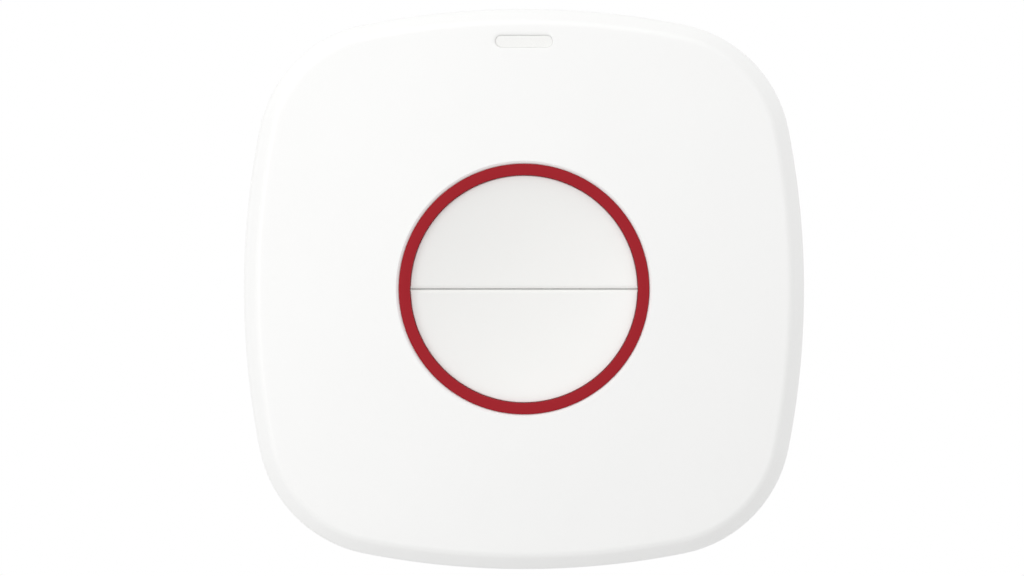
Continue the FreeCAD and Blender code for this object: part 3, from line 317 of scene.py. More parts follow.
# Terminals are stamped brass, tinned for the solder.
worked("terminal_steel", "tinned_stamped_brass", "D2D0C8", "C2BFB4", 0.28, 0.08 * mm, along_z, 0.001 * mm)
# The antenna is drawn phosphor bronze wire, lightly tarnished.
worked("coil_brass", "drawn_bronze_wire", "C99A5E", "B5834A", 0.32, 0.06 * mm, along_z, 0.001 * mm)
# Screws are cold-formed steel with zinc plating, slightly blue, and plating leaves no lines.
worked("screw_steel", "zinc_plated_steel", "C3C7CB", "AEB3B8", 0.34, 0.12 * mm, no_way, 0.002 * mm)
# The crystal's lid is nickel, welded on, with rolling lines along its length.
worked("crystal_steel", "nickel_welded_lid", "D6D3C8", "C9C5B8", 0.24, 0.1 * mm, along_x, 0.0005 * mm)

# %% [markdown]
# ## The circuit board
# A board is woven glass in epoxy under a green lacquer. The weave prints through the lacquer as a
# very fine check, one thread each half millimetre. Two wave textures at right angles make it: one
# has its bands across x and the other across z, and the larger of the two is the height.

# %% Lacquered glass laminate
laminate, place = surface("glass_laminate_lacquered")
thread = 0.5 * mm
# A wave texture repeats about every 0.31 of its own unit, so the scale is 0.31 over the spacing.
wave_scale = 0.31 / thread
warp, weft = (add(laminate, "ShaderNodeTexWave", {"Vector": place, "Scale": wave_scale},
                  bands_direction=across).outputs["Fac"] for across in ("X", "Z"))
weave = add(laminate, "ShaderNodeMath", {0: warp, 1: weft}, operation="MAXIMUM")
pool_size, weave_depth = 4 * mm, 0.004 * mm
pooled = add(laminate, "ShaderNodeTexNoise", {"Vector": place, "Scale": 1 / pool_size, "Detail": 3.0})
colour = add(laminate, "ShaderNodeMix", {
    "Factor": pooled.outputs["Fac"], "A": linear("1E5A3C"), "B": linear("2A6E4B")}, data_type="RGBA")
bump = add(laminate, "ShaderNodeBump", {"Height": weave.outputs[0], "Distance": weave_depth, "Strength": 1.0})
finish_with(laminate, add(laminate, "ShaderNodeBsdfPrincipled", {
    "Base Color": colour.outputs["Result"], "Roughness": 0.32, "IOR": 1.55,
    "Normal": bump.outputs["Normal"]}), "board_laminate")

# %% [markdown]
# ## Capacitors
# A chip capacitor is a brick of fired ceramic with a tinned cap on each end. The eight lie in two
# columns, so one material can tell the ends from the middle by position alone: the distance along x
# from the middle of the nearest column, with metal where it is large.

# %% Ceramic with tinned ends
ceramic, place = surface("fired_ceramic_tinned_ends")
capacitors_low, capacitors_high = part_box("chip_capacitors")
capacitor_length = 1.0 * mm
tinned_end = 0.22 * mm
column_step = capacitors_high.x - capacitors_low.x - capacitor_length
first_column = capacitors_low.x + capacitor_length / 2
along = add(ceramic, "ShaderNodeSeparateXYZ", {"Vector": place})
shifted = add(ceramic, "ShaderNodeMath", {0: along.outputs["X"], 1: first_column - column_step / 2},
              operation="SUBTRACT")
within = add(ceramic, "ShaderNodeMath", {0: shifted.outputs[0], 1: column_step, 2: 0.0}, operation="WRAP")
off_middle = add(ceramic, "ShaderNodeMath", {0: within.outputs[0], 1: column_step / 2}, operation="SUBTRACT")
reach_out = add(ceramic, "ShaderNodeMath", {0: off_middle.outputs[0]}, operation="ABSOLUTE")
is_end = add(ceramic, "ShaderNodeMath", {0: reach_out.outputs[0], 1: capacitor_length / 2 - tinned_end},
             operation="GREATER_THAN").outputs[0]
grain_size, grain_depth = 0.1 * mm, 0.002 * mm
grain = add(ceramic, "ShaderNodeTexNoise", {
    "Vector": place, "Scale": 1 / grain_size, "Detail": 2.0}).outputs["Fac"]
brick = add(ceramic, "ShaderNodeMix", {
    "Factor": grain, "A": linear("8D7256"), "B": linear("9C8064")}, data_type="RGBA")
colour = add(ceramic, "ShaderNodeMix", {
    "Factor": is_end, "A": brick.outputs["Result"], "B": linear("CFCEC9")}, data_type="RGBA")
bump = add(ceramic, "ShaderNodeBump", {"Height": grain, "Distance": grain_depth, "Strength": 1.0})
finish_with(ceramic, add(ceramic, "ShaderNodeBsdfPrincipled", {
    "Base Color": colour.outputs["Result"], "Metallic": is_end, "Roughness": 0.36,
    "Normal": bump.outputs["Normal"]}), "capacitor_ceramic")

# %% [markdown]
# ## Which piece gets which finish
# The record names a finish for each piece, and each material above was noted under such a name. The
# pieces that stay as they came get theirs now.

# %% Dress the solids
slots = {entry["node"]: entry["material_slot"] for entry in frame["record"]["subparts"]}
for name, node in frame["nodes"].items():
    node.data.materials.clear()
    node.data.materials.append(finishes[slots[name]])
print(len(set(slots.values())), "finishes on", len(slots), "pieces")

# %% [markdown]
# ## Drawing flat
# Every piece faces the same way, out of the wall, so it is easiest to draw it lying on its back: x to
# the right, y up, and z as its distance from the wall, all in millimetres. One function then stands
# it up, brings it to metres, hides the solid that it stands for and lets it ride on the same body.
# Smooth shading would bend the light over an edge that should stay crisp, so edges that turn by more
# than 35 degrees are marked sharp, and a weighted normal keeps the large faces flat.

# %% Stand a flat shape up
bodies = {node: body for body, nodes in frame["record"]["behaviour"]["bodies"].items() for node in nodes}
weld = 0.0005
# Two lengths that differ by less than this are the same but for rounding.
slack = 0.001
sharp_angle = math.radians(35)


def rotate(shape, verts, angle, axis, centre=(0, 0, 0)):
    """Rotate points about an axis through a centre."""
    bmesh.ops.rotate(shape, verts=verts, cent=centre, matrix=Matrix.Rotation(angle, 3, axis))


def settle(shape, name, node):
    """Make a flat shape an object that stands for a node and rides where it rides."""
    bmesh.ops.remove_doubles(shape, verts=shape.verts, dist=weld)
    bmesh.ops.recalc_face_normals(shape, faces=shape.faces)
    rotate(shape, shape.verts, math.pi / 2, "X")
    bmesh.ops.scale(shape, verts=shape.verts, vec=(mm, mm, mm))
    loose = sum(1 for edge in shape.edges if not edge.is_manifold)
    mesh = as_mesh(shape, name)
    mesh.shade_smooth()
    mesh.set_sharp_from_angle(angle=sharp_angle)
    mesh.materials.append(finishes[slots[node]])
    piece = stand(name, mesh)
    weighted = piece.modifiers.new("flat faces stay flat", "WEIGHTED_NORMAL")
    weighted.keep_sharp = True
    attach(piece, bodies[node])
    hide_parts(node)
    print(name, "has", len(mesh.polygons), "faces and", loose, "open or doubled edges")


def near(value, target):
    """True if two lengths are the same."""
    return abs(value - target) < slack


def reach(point):
    """Distance of a point from the axis through the middle of the button."""
    return math.hypot(point.x, point.y)


def bevel(shape, edges, radius, segments):
    """Round some edges."""
    bmesh.ops.bevel(shape, geom=edges, offset=radius, offset_type="OFFSET", segments=segments, profile=0.5,
                    affect="EDGES", clamp_overlap=True, material=-1)


def round_off(shape, radius, segments, level=None, distance=None):
    """Round the edges at a level, at a distance from the axis, or at both."""
    edges = [edge for edge in shape.edges if all(
        (level is None or near(vertex.co.z, level)) and (distance is None or near(reach(vertex.co), distance))
        for vertex in edge.verts)]
    bevel(shape, edges, radius, segments)
    return len(edges)


# %% [markdown]
# ## Blocks, pegs and slots
# The plain forms inside the mouldings are blocks, round pegs and slots. Each is one operator with a
# matrix that sizes and places it. A slot is a block whose four upright edges are rounded by half its
# width, which turns its ends into half circles. Where one form is added to another or cut out of it,
# the Boolean modifier does the work on two throwaway objects, and its result is read back.

# %% Forms and how they join
# A small overlap, or step, that keeps two joined forms from sharing a face.
hidden = 0.02
# How far a cutting form reaches past what it cuts.
past = 1.0
peg_steps, slot_end_steps = 48, 10
# A slot's ends are rounded by a hair less than half its width, so a short flat stays between them.
slot_end_share = 0.999


def flat_box(node):
    """A node's lowest and highest corners lying flat: x, y and level, in millimetres."""
    low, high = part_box(node)
    return Vector((low[0], low[2], -high[1])) / mm, Vector((high[0], high[2], -low[1])) / mm


def block(shape, corner, opposite):
    """A block between two corners."""
    corner, opposite = Vector(corner), Vector(opposite)
    size = Matrix.Diagonal([abs(side) for side in opposite - corner] + [1])
    middle = Matrix.Translation((corner + opposite) / 2)
    return bmesh.ops.create_cube(shape, size=1, matrix=middle @ size)["verts"]


def peg(shape, x, y, low, high, radius, top_radius=None, steps=peg_steps):
    """A round peg or cone from one level up to another."""
    bmesh.ops.create_cone(
        shape, cap_ends=True, cap_tris=False, segments=steps, radius1=radius,
        radius2=radius if top_radius is None else top_radius, depth=high - low,
        matrix=Matrix.Translation((x, y, (low + high) / 2)))


def pegs(shape, places, low, high, radius):
    """A round peg at each of several places."""
    for x, y in places:
        peg(shape, x, y, low, high, radius)


def edges_among(shape, verts):
    """The edges from one to another of some points."""
    return [edge for edge in shape.edges if all(vertex in verts for vertex in edge.verts)]


def slot_block(shape, y, half_length, radius, low, high):
    """A block along x with half-round ends."""
    verts = block(shape, (-half_length, y - radius, low), (half_length, y + radius, high))
    upright = [edge for edge in edges_among(shape, verts)
               if near((edge.verts[0].co - edge.verts[1].co).xy.length, 0)]
    bevel(shape, upright, radius * slot_end_share, slot_end_steps)


def combined(shape, tool, operation):
    """One shape with another added to it or cut out of it."""
    bmesh.ops.recalc_face_normals(tool, faces=tool.faces)
    things = [stand("throwaway", as_mesh(part, "throwaway")) for part in (shape, tool)]
    change = things[0].modifiers.new("change", "BOOLEAN")
    change.operation = operation
    change.solver = "EXACT"
    change.object = things[1]
    ready = things[0].evaluated_get(bpy.context.evaluated_depsgraph_get())
    result = bmesh.new()
    result.from_mesh(ready.to_mesh())
    for thing in things:
        # Blender removes the object with its mesh.
        bpy.data.meshes.remove(thing.data)
    return result


def changed(shape, operation, form, *sizes):
    """One shape with forms of one kind added to it or cut out of it."""
    tool = bmesh.new()
    for size in sizes:
        form(tool, *size)
    return combined(shape, tool, operation)


# %% [markdown]
# ## Turned forms
# A ring, a disc and a half-round button are turned forms, as from a lathe: their section is drawn in
# x and z from point to point and spun round the axis. The points where the turn closes are merged.

# %% Draw a section and turn it
def draw(shape, corners, before=None, closed=False):
    """Straight edges from corner to corner, on from an earlier point or back to the first. Gives the last."""
    chain = [before] if before else []
    chain += [shape.verts.new((x, 0, level)) for x, level in corners]
    for here, after in zip(chain, chain[1:] + (chain[:1] if closed else [])):
        shape.edges.new((here, after))
    return chain[-1]


def everything(shape):
    """All points, edges and faces of a shape."""
    return shape.verts[:] + shape.edges[:] + shape.faces[:]


def turn(shape, steps, angle=math.tau):
    """Spin what is drawn round the axis, through a full turn or a part of one."""
    bmesh.ops.spin(shape, geom=everything(shape), cent=(0, 0, 0), axis=(0, 0, 1), angle=angle, steps=steps,
                   use_merge=angle == math.tau)
    bmesh.ops.remove_doubles(shape, verts=shape.verts, dist=weld)
    bmesh.ops.recalc_face_normals(shape, faces=shape.faces)
    return shape


def turned(corners, steps, closed=False):
    """A section of radius and level, spun through a full turn."""
    shape = bmesh.new()
    draw(shape, corners, closed=closed)
    return turn(shape, steps)


# %% [markdown]
# ## The half-round buttons
# Each button is half of a cup that hangs under the ring: a dished face, a skirt with a stop that the
# ring holds down, and a post that stands on its switch. The two are moulded apart, but they look like
# one dished disc with a line across it. So the disc is turned whole: a point spun round the centre of
# the dish draws its arc, straight lines finish the half section, and spinning that round the axis
# makes the cup. A plane then cuts it along the split. The edge along the split is dished too, so it
# is rounded by a cut: the space over a quarter circle, swept along the dish's arc.

# %% Turn the cup and cut it
cap_low, cap_high = flat_box("upper_button_cap")
ring_low, ring_high = flat_box("button_ring")
stop_height, stop_play, skirt_wall, face_depth = 0.85, 0.05, 0.9, 2.7
ring_bore = 11.35
cap_gap, split_gap = 0.035, 0.04
cap_edge, split_edge = 0.1, 0.4
# The faces lie this much lower than the solids', for the dark line that the photo shows inside the ring.
seen_sink = 0.3
cap_radius = ring_bore - cap_gap
rim_level = cap_high.z - seen_sink
stop_radius = cap_high.x
stop_low = ring_low.z - stop_play - stop_height
under_level = cap_high.z - face_depth
dish_radius = 36.0
dish_centre = rim_level + math.sqrt(dish_radius ** 2 - cap_radius ** 2)
dish_steps, cup_steps, split_steps, sweep_steps = 16, 160, 6, 48
# The rounding cut starts this far outside the flat side of the split, so they never share a plane.
split_skim = 0.002


def half_cup():
    """The upper button without what is under its face."""
    shape = bmesh.new()
    deepest = shape.verts.new((0, 0, dish_centre - dish_radius))
    rim = bmesh.ops.spin(shape, geom=[deepest], cent=(0, 0, dish_centre), axis=(0, -1, 0),
                         angle=math.asin(cap_radius / dish_radius), steps=dish_steps)["geom_last"][0]
    skirt_inner, stop_top = cap_radius - skirt_wall, stop_low + stop_height
    draw(shape, ((cap_radius, stop_top), (stop_radius, stop_top), (stop_radius, stop_low),
                 (skirt_inner, stop_low), (skirt_inner, under_level), (0, under_level)), before=rim)
    turn(shape, cup_steps)
    print("rounded", round_off(shape, cap_edge, 4, rim_level, cap_radius), "edges of the rim")
    bmesh.ops.bisect_plane(shape, geom=everything(shape), dist=weld, plane_co=(0, split_gap / 2, 0),
                           plane_no=(0, 1, 0), clear_inner=True)
    bmesh.ops.holes_fill(shape, edges=[edge for edge in shape.edges if edge.is_boundary], sides=0)
    return combined(shape, beside_the_split(), "DIFFERENCE")


def beside_the_split():
    """The space over the rounded edge along the split: its section swept along the dish's arc."""
    start, lowest = split_gap / 2 - split_skim, dish_centre - dish_radius - split_edge
    end, outside, top = start + split_edge, start - split_edge, lowest + 2 * split_edge
    shape = bmesh.new()
    first = shape.verts.new((start, 0, lowest))
    arc_end = bmesh.ops.spin(shape, geom=[first], cent=(end, 0, lowest), axis=(0, 1, 0), angle=math.tau / 4,
                             steps=split_steps)["geom_last"][0]
    last = draw(shape, ((end, top), (outside, top), (outside, lowest)), before=arc_end)
    shape.edges.new((last, first))
    bmesh.ops.contextual_create(shape, geom=shape.edges[:])
    rotate(shape, shape.verts, math.tau / 4, "Z")
    half_sweep = math.asin((cap_radius + past) / dish_radius)
    centre = (0, 0, dish_centre)
    rotate(shape, shape.verts, -half_sweep, "Y", centre)
    bmesh.ops.spin(shape, geom=everything(shape), cent=centre, axis=(0, 1, 0), angle=2 * half_sweep,
                   steps=sweep_steps)
    return shape


# %% [markdown]
# Under the face are the parts that make it a button: a wall along the split that stiffens it, a rib
# from there to the skirt, the post, and a notch at each end where the ring's keys hold the halves
# apart. They are blocks and a peg, joined one after the other.

# %% Add what is under the face
post_place, post_radius, rib_drop, sunk = 5.6, 1.6, 0.9, 0.1
key_reach, key_half, key_top, key_play = 1.0, 0.6, 1.2, 0.15
press_room = 0.4
notch_top = ring_low.z + key_top + press_room + key_play


def button():
    """The whole upper button, lying flat."""
    wide, half = cap_radius - skirt_wall / 2, skirt_wall / 2
    split_side = split_gap / 2
    shape = changed(half_cup(), "UNION", block, (
        (-wide, split_side + hidden, stop_low + hidden), (wide, split_side + skirt_wall, under_level + sunk)))
    shape = changed(shape, "UNION", block, (
        (-half, split_side + half, under_level - rib_drop), (half, cap_radius - half, under_level + sunk)))
    shape = changed(shape, "UNION", peg, (0, post_place, cap_low.z, under_level + 2 * sunk, post_radius))
    return changed(shape, "DIFFERENCE", block, *(
        ((side * (ring_bore - key_reach - key_play), -past, stop_low - past),
         (side * (stop_radius + past), key_half + key_play, notch_top)) for side in (1, -1)))


settle(button(), "upper_button", "upper_button_cap")
lower = button()
bmesh.ops.scale(lower, verts=lower.verts, vec=(1, -1, 1))
settle(lower, "lower_button", "lower_button_cap")

# %% [markdown]
# ## The red ring
# The ring is a tube with a flange below the cover, where three short screws hold it. Its section is a
# step with six corners, spun round the axis. Only its top edge shows, 1.15 mm wide, and the small
# rounding of that edge is what catches the light as a thin line.

# %% Turn the ring
ring_wall, flange_thickness, collar_wall, ledge_reach = 1.15, 1.0, 1.55, 1.4
cover_hole = ring_bore + ring_wall
ring_gap, ring_edge, ring_steps = 0.015, 0.08, 180
ring_outer = cover_hole - ring_gap
collar_low = ring_low.z + flange_thickness
collar_outer = cover_hole + collar_wall
ledge_radius = collar_outer + ledge_reach
screw_circle, lug_radius, lug_hole = 17.0, 2.1, 0.9
ring_screw_places = [(screw_circle * math.cos(lean), screw_circle * math.sin(lean))
                     for lean in (math.radians(angle) for angle in (90, 210, 330))]


def ring():
    """The ring with its flange, three screw lugs and two keys."""
    shape = turned(((ring_bore, ring_low.z), (ledge_radius, ring_low.z), (ledge_radius, collar_low),
                    (ring_outer, collar_low), (ring_outer, ring_high.z), (ring_bore, ring_high.z)),
                   ring_steps, closed=True)
    round_off(shape, ring_edge, 4, ring_high.z)
    shape = changed(shape, "UNION", pegs, (ring_screw_places, ring_low.z, collar_low, lug_radius))
    shape = changed(shape, "UNION", block, *(
        ((side * (ring_bore - key_reach), -key_half, ring_low.z),
         (side * (ring_bore + ring_wall / 2), key_half, ring_low.z + key_top)) for side in (1, -1)))
    holes = (ring_screw_places, ring_low.z - past, collar_low + past, lug_hole)
    return changed(shape, "DIFFERENCE", pegs, holes)


settle(ring(), "red_ring", "button_ring")

# %% [markdown]
# ## The light pipe
# A milky bar carries the light of the lamp on the board up to the slot in the cover. It sits a quarter
# of a millimetre below the cover's face, so the slot's upper and left edges shade it. It has a flange
# that stops it under the cover, a foot over the lamp and two legs on the board.

# %% Build the light pipe
pipe_low, pipe_high = flat_box("light_pipe")
window_half, window_radius, pipe_gap = 2.85, 0.6, 0.01
window_y = (pipe_low.y + pipe_high.y) / 2
flange_high, flange_low, foot_low = 12.93, 12.13, 9.85
foot_half, leg = 1.6, 0.8
pipe_edge = 0.04


def pipe():
    """The light pipe: bar, flange, foot and legs."""
    shape = bmesh.new()
    bar_radius = window_radius - pipe_gap
    slot_block(shape, window_y, window_half - pipe_gap, bar_radius, flange_low, pipe_high.z)
    round_off(shape, pipe_edge, 3, pipe_high.z)
    shape = changed(shape, "UNION", block, (
        (pipe_low.x, pipe_low.y, flange_low - hidden), (pipe_high.x, pipe_high.y, flange_high)))
    rest = bmesh.new()
    slot_block(rest, window_y, foot_half, bar_radius, foot_low, flange_low + hidden)
    for side in (pipe_low.x, pipe_high.x - leg):
        block(rest, (side + hidden, window_y - leg / 2, pipe_low.z),
              (side + leg - hidden, window_y + leg / 2, flange_low + hidden))
    return combined(shape, rest, "UNION")


settle(pipe(), "light_pipe_bar", "light_pipe")

# %% [markdown]
# ## The outline of the covers
# The covers are a rounded square whose sides bow out a little. Four long arcs make the sides and four
# tight arcs the corners, and each pair shares a direction where it meets, so the outline has no kink.
# To draw it, one point is spun round the middle of the first arc, its last copy round the middle of
# the next, and so on until the chain closes. A smaller outline keeps the same middles and gets
# shorter radii, so the distance between the two is the same all round.

# %% Draw an outline and a circle
side_radius, corner_radius, case_half = 83.0, 13.2, 28.0
bow = side_radius - case_half
spread = side_radius - corner_radius
corner_middle = (math.sqrt(2 * spread ** 2 - bow ** 2) - bow) / 2
joint = math.atan2(corner_middle, corner_middle + bow)
side_steps, corner_steps = 33, 15
around = 4 * (side_steps + corner_steps)
first_lean = math.atan2(-side_radius * math.sin(joint), side_radius * math.cos(joint) - bow)


def chain_of(shape, start, arcs):
    """A closed chain of edges: a point moved on by each arc, and by the line along x that may follow."""
    known = set(shape.edges)
    first = shape.verts.new(start)
    tip = [first]
    for centre, angle, steps, line in arcs:
        tip = bmesh.ops.spin(shape, geom=tip, cent=centre, axis=(0, 0, 1), angle=angle,
                             steps=steps)["geom_last"]
        if line:
            tip = bmesh.ops.extrude_vert_indiv(shape, verts=tip)["verts"]
            bmesh.ops.translate(shape, verts=tip, vec=(line, 0, 0))
    bmesh.ops.pointmerge(shape, verts=[first, tip[0]], merge_co=first.co)
    return [edge for edge in shape.edges if edge not in known]


def outline(shape, inset, level):
    """The rounded square at a level, as a closed chain of edges."""
    side, corner_angle = side_radius - inset, math.tau / 4 - 2 * joint
    arcs = []
    for quarter in range(4):
        onward = Matrix.Rotation(quarter * math.tau / 4, 3, "Z")
        arcs += [(onward @ Vector((-bow, 0, 0)), 2 * joint, side_steps, 0),
                 (onward @ Vector((corner_middle, corner_middle, 0)), corner_angle, corner_steps, 0)]
    return chain_of(shape, (side * math.cos(joint) - bow, -side * math.sin(joint), level), arcs)


def circle(shape, radius, level):
    """A circle with as many steps as the outline, as a closed chain of edges."""
    start = (radius * math.cos(first_lean), radius * math.sin(first_lean), level)
    return chain_of(shape, start, [((0, 0, 0), math.tau, around, 0)])


# %% [markdown]
# ## The front cover
# The front cover is the shell that the photo shows: a wall, a bevelled rim, a gently crowned face with
# a round hole, and a collar behind the hole. All of it can be drawn as one band that runs up the
# outside, over the face, down through the hole and back along the inside, because the real moulding
# is one wall too. So the outlines and circles are bridged in that order, the last one to the first.
# The strip over the face is cut into rows, and each point of it is lifted onto the crown's sphere.

# %% Loft the front cover
crown_radius, case_depth, front_wall = 170.0, 17.1, 1.6
bevel_depth, bevel_width = 2.2, 1.3
parting_level, tongue_level, tongue_step = 7.0, 8.1, 0.8
parting_edge, foot_edge, top_edge, hole_edge, root_edge = 0.2, 0.68, 0.47, 0.28, 0.9
face_rows = 12


def crown_at(distance, inset=0.0):
    """Level of the crown, or of a surface inside it, at a distance from the middle."""
    return case_depth - crown_radius + math.sqrt((crown_radius - inset) ** 2 - distance ** 2)


def points_in(geometry):
    """The points among some points, edges and faces."""
    return [item for item in geometry if isinstance(item, bmesh.types.BMVert)]


def lift(chain, inset=0.0, drop=0.0):
    """Bring a chain of edges onto the crown, or below it."""
    for vertex in {vertex for edge in chain for vertex in edge.verts}:
        vertex.co.z = crown_at(reach(vertex.co), inset) - drop
    return chain


def lofted_cover():
    """The front cover's wall, face, collar and inside as one closed skin."""
    shape = bmesh.new()
    parting = outline(shape, 0, parting_level)
    band_foot = lift(outline(shape, 0, 0), drop=bevel_depth)
    band_top = lift(outline(shape, bevel_width, 0))
    hole_top = lift(circle(shape, cover_hole, 0))
    collar_inner = circle(shape, cover_hole, collar_low)
    collar_outer_low = circle(shape, collar_outer, collar_low)
    collar_root = lift(circle(shape, collar_outer, 0), inset=front_wall)
    wall_root = lift(outline(shape, front_wall, 0), inset=front_wall)
    step_inner = outline(shape, front_wall, tongue_level)
    step_outer = outline(shape, tongue_step, tongue_level)
    parting_inner = outline(shape, tongue_step, parting_level)
    chains = [parting, band_foot, band_top, hole_top, collar_inner, collar_outer_low, collar_root, wall_root,
              step_inner, step_outer, parting_inner]
    for here, after in zip(chains, chains[1:] + chains[:1]):
        strip = bmesh.ops.bridge_loops(shape, edges=here + after)
        if here in (band_top, collar_root):
            inset = 0 if here is band_top else front_wall
            cut = bmesh.ops.subdivide_edges(shape, edges=strip["edges"], cuts=face_rows, use_grid_fill=True)
            for vertex in points_in(cut["geom_inner"]):
                vertex.co.z = crown_at(reach(vertex.co), inset)
    bmesh.ops.recalc_face_normals(shape, faces=shape.faces)
    for chain, radius, segments in (
            (parting, parting_edge, 3), (band_foot, foot_edge, 6), (band_top, top_edge, 6),
            (hole_top, hole_edge, 1), (wall_root, root_edge, 4)):
        bevel(shape, [edge for edge in chain if edge.is_valid], radius, segments)
    print("the loft has", len(shape.faces), "faces")
    return shape


# %% [markdown]
# Inside, bosses stand on the ceiling for the screws, ribs tie the collar to the bosses, and a block
# thickens the wall round the lamp slot. They are joined in two steps, then the slot and the screw
# pilots are cut.

# %% Add the bosses and cut the slots
lamp_block_low, lamp_block_top, lamp_block_half = 12.979, 14.08, 4.2
lamp_block_drop, lamp_block_inset = 1.4, 1.28
ring_boss, case_boss, boss_sunk = 2.0, 2.35, 0.8
rib_half, rib_lift, rib_top = 0.5, 0.25, 15.3
ring_pilot, ring_pilot_top, case_pilot, case_pilot_top = 0.8, 15.4, 1.05, 11.8
screw_place, board_top = 16.5, 8.95
case_screw_places = [(x, y) for x in (screw_place, -screw_place) for y in (screw_place, -screw_place)]
# The photo shows the slot's rounding wider at the upper left than at the lower right.
slot_flare, flare_shift = 0.25, 0.6
flare_steps, slot_steps = 5, 16


def slot_chain(shape, flare, level):
    """The lamp slot, wider all round by a flare, as a closed chain of edges."""
    straight, radius = window_half - window_radius, window_radius + flare
    x, y = -flare * flare_shift, window_y + flare * flare_shift
    return chain_of(shape, (x + straight, y - radius, level), [
        ((x + side, y, level), math.pi, slot_steps, -2 * side) for side in (straight, -straight)])


def flared_slot():
    """The space of the lamp slot, with the rounding of its upper edge."""
    shape = bmesh.new()
    chains = [slot_chain(shape, 0, lamp_block_low - past)]
    for part in range(flare_steps + 1):
        angle = math.tau / 4 * part / flare_steps
        chain = slot_chain(shape, slot_flare * (1 - math.cos(angle)), 0)
        chains.append(lift(chain, drop=slot_flare * (1 - math.sin(angle))))
    chains.append(slot_chain(shape, slot_flare, case_depth))
    for here, after in zip(chains, chains[1:]):
        bmesh.ops.bridge_loops(shape, edges=here + after)
    bmesh.ops.holes_fill(shape, edges=[edge for edge in shape.edges if edge.is_boundary], sides=0)
    return shape


def front():
    """The whole front cover, lying flat."""
    screw_reach = math.hypot(screw_place, screw_place)
    ring_top, case_top = (crown_at(far, front_wall) + boss_sunk for far in (screw_circle, screw_reach))
    bosses = bmesh.new()
    pegs(bosses, ring_screw_places, collar_low + hidden, ring_top, ring_boss)
    pegs(bosses, case_screw_places, board_top, case_top, case_boss)
    block(bosses, (-lamp_block_half, window_y - lamp_block_drop, lamp_block_low),
          (lamp_block_half, case_half - lamp_block_inset, lamp_block_top))
    shape = combined(lofted_cover(), bosses, "UNION")
    ribs = bmesh.new()
    for quarter in range(4):
        verts = block(ribs, (collar_outer - collar_wall / 2, -rib_half, collar_low + rib_lift),
                      (screw_reach - case_boss / 2, rib_half, rib_top))
        rotate(ribs, verts, math.tau / 8 + quarter * math.tau / 4, "Z")
    shape = combined(shape, ribs, "UNION")
    cuts = flared_slot()
    pegs(cuts, ring_screw_places, collar_low - past, ring_pilot_top, ring_pilot)
    pegs(cuts, case_screw_places, board_top - past, case_pilot_top, case_pilot)
    return combined(shape, cuts, "DIFFERENCE")


settle(front(), "cover_front", "front_cover")

# %% [markdown]
# ## The wall bracket
# The bracket is the plate that is screwed to the wall. Four hooks stand on it; the covers are pushed
# on and slide down behind their lips. Each hook is a stem and a lip over a window, which is how such
# a hook leaves a simple two-part mould: the window is where the tool's core reached through. The
# holes are sunk for the screw heads, and a springy finger with a bump clicks into the rear cover.

# %% Build the plate and its hooks
plate_inset, plate_shift, plate_top, plate_edge, back_edge = 4.9, 1.2, 2.0, 0.4, 0.12
hook_x, hook_half, stem_length, lip_length, rooted = 16.75, 1.7, 2.2, 2.0, 0.5
lip_low, lip_top, lead_in = 3.7, 4.7, 0.25
hook_feet = (6.5, -9.5)
hook_places = [(x, foot) for foot in hook_feet for x in (hook_x, -hook_x)]
screw_x, screw_hole, sink_width, sink_depth = 12.0, 1.75, 1.8, 1.3
finger_half, finger_root, finger_tip, slit = 3.5, -9.0, -18.0, 0.8
bump_y, bump_radius, bump_slope, bump_height = finger_tip + 3.2, 1.2, 0.3, 0.25
ejector_places, ejector_depth, ejector_radius = ((8, 14), (-8, 14), (11, -12), (-11, -12)), 0.12, 1.5
gate_y, gate_depth, gate_radius = 7, 0.3, 0.9


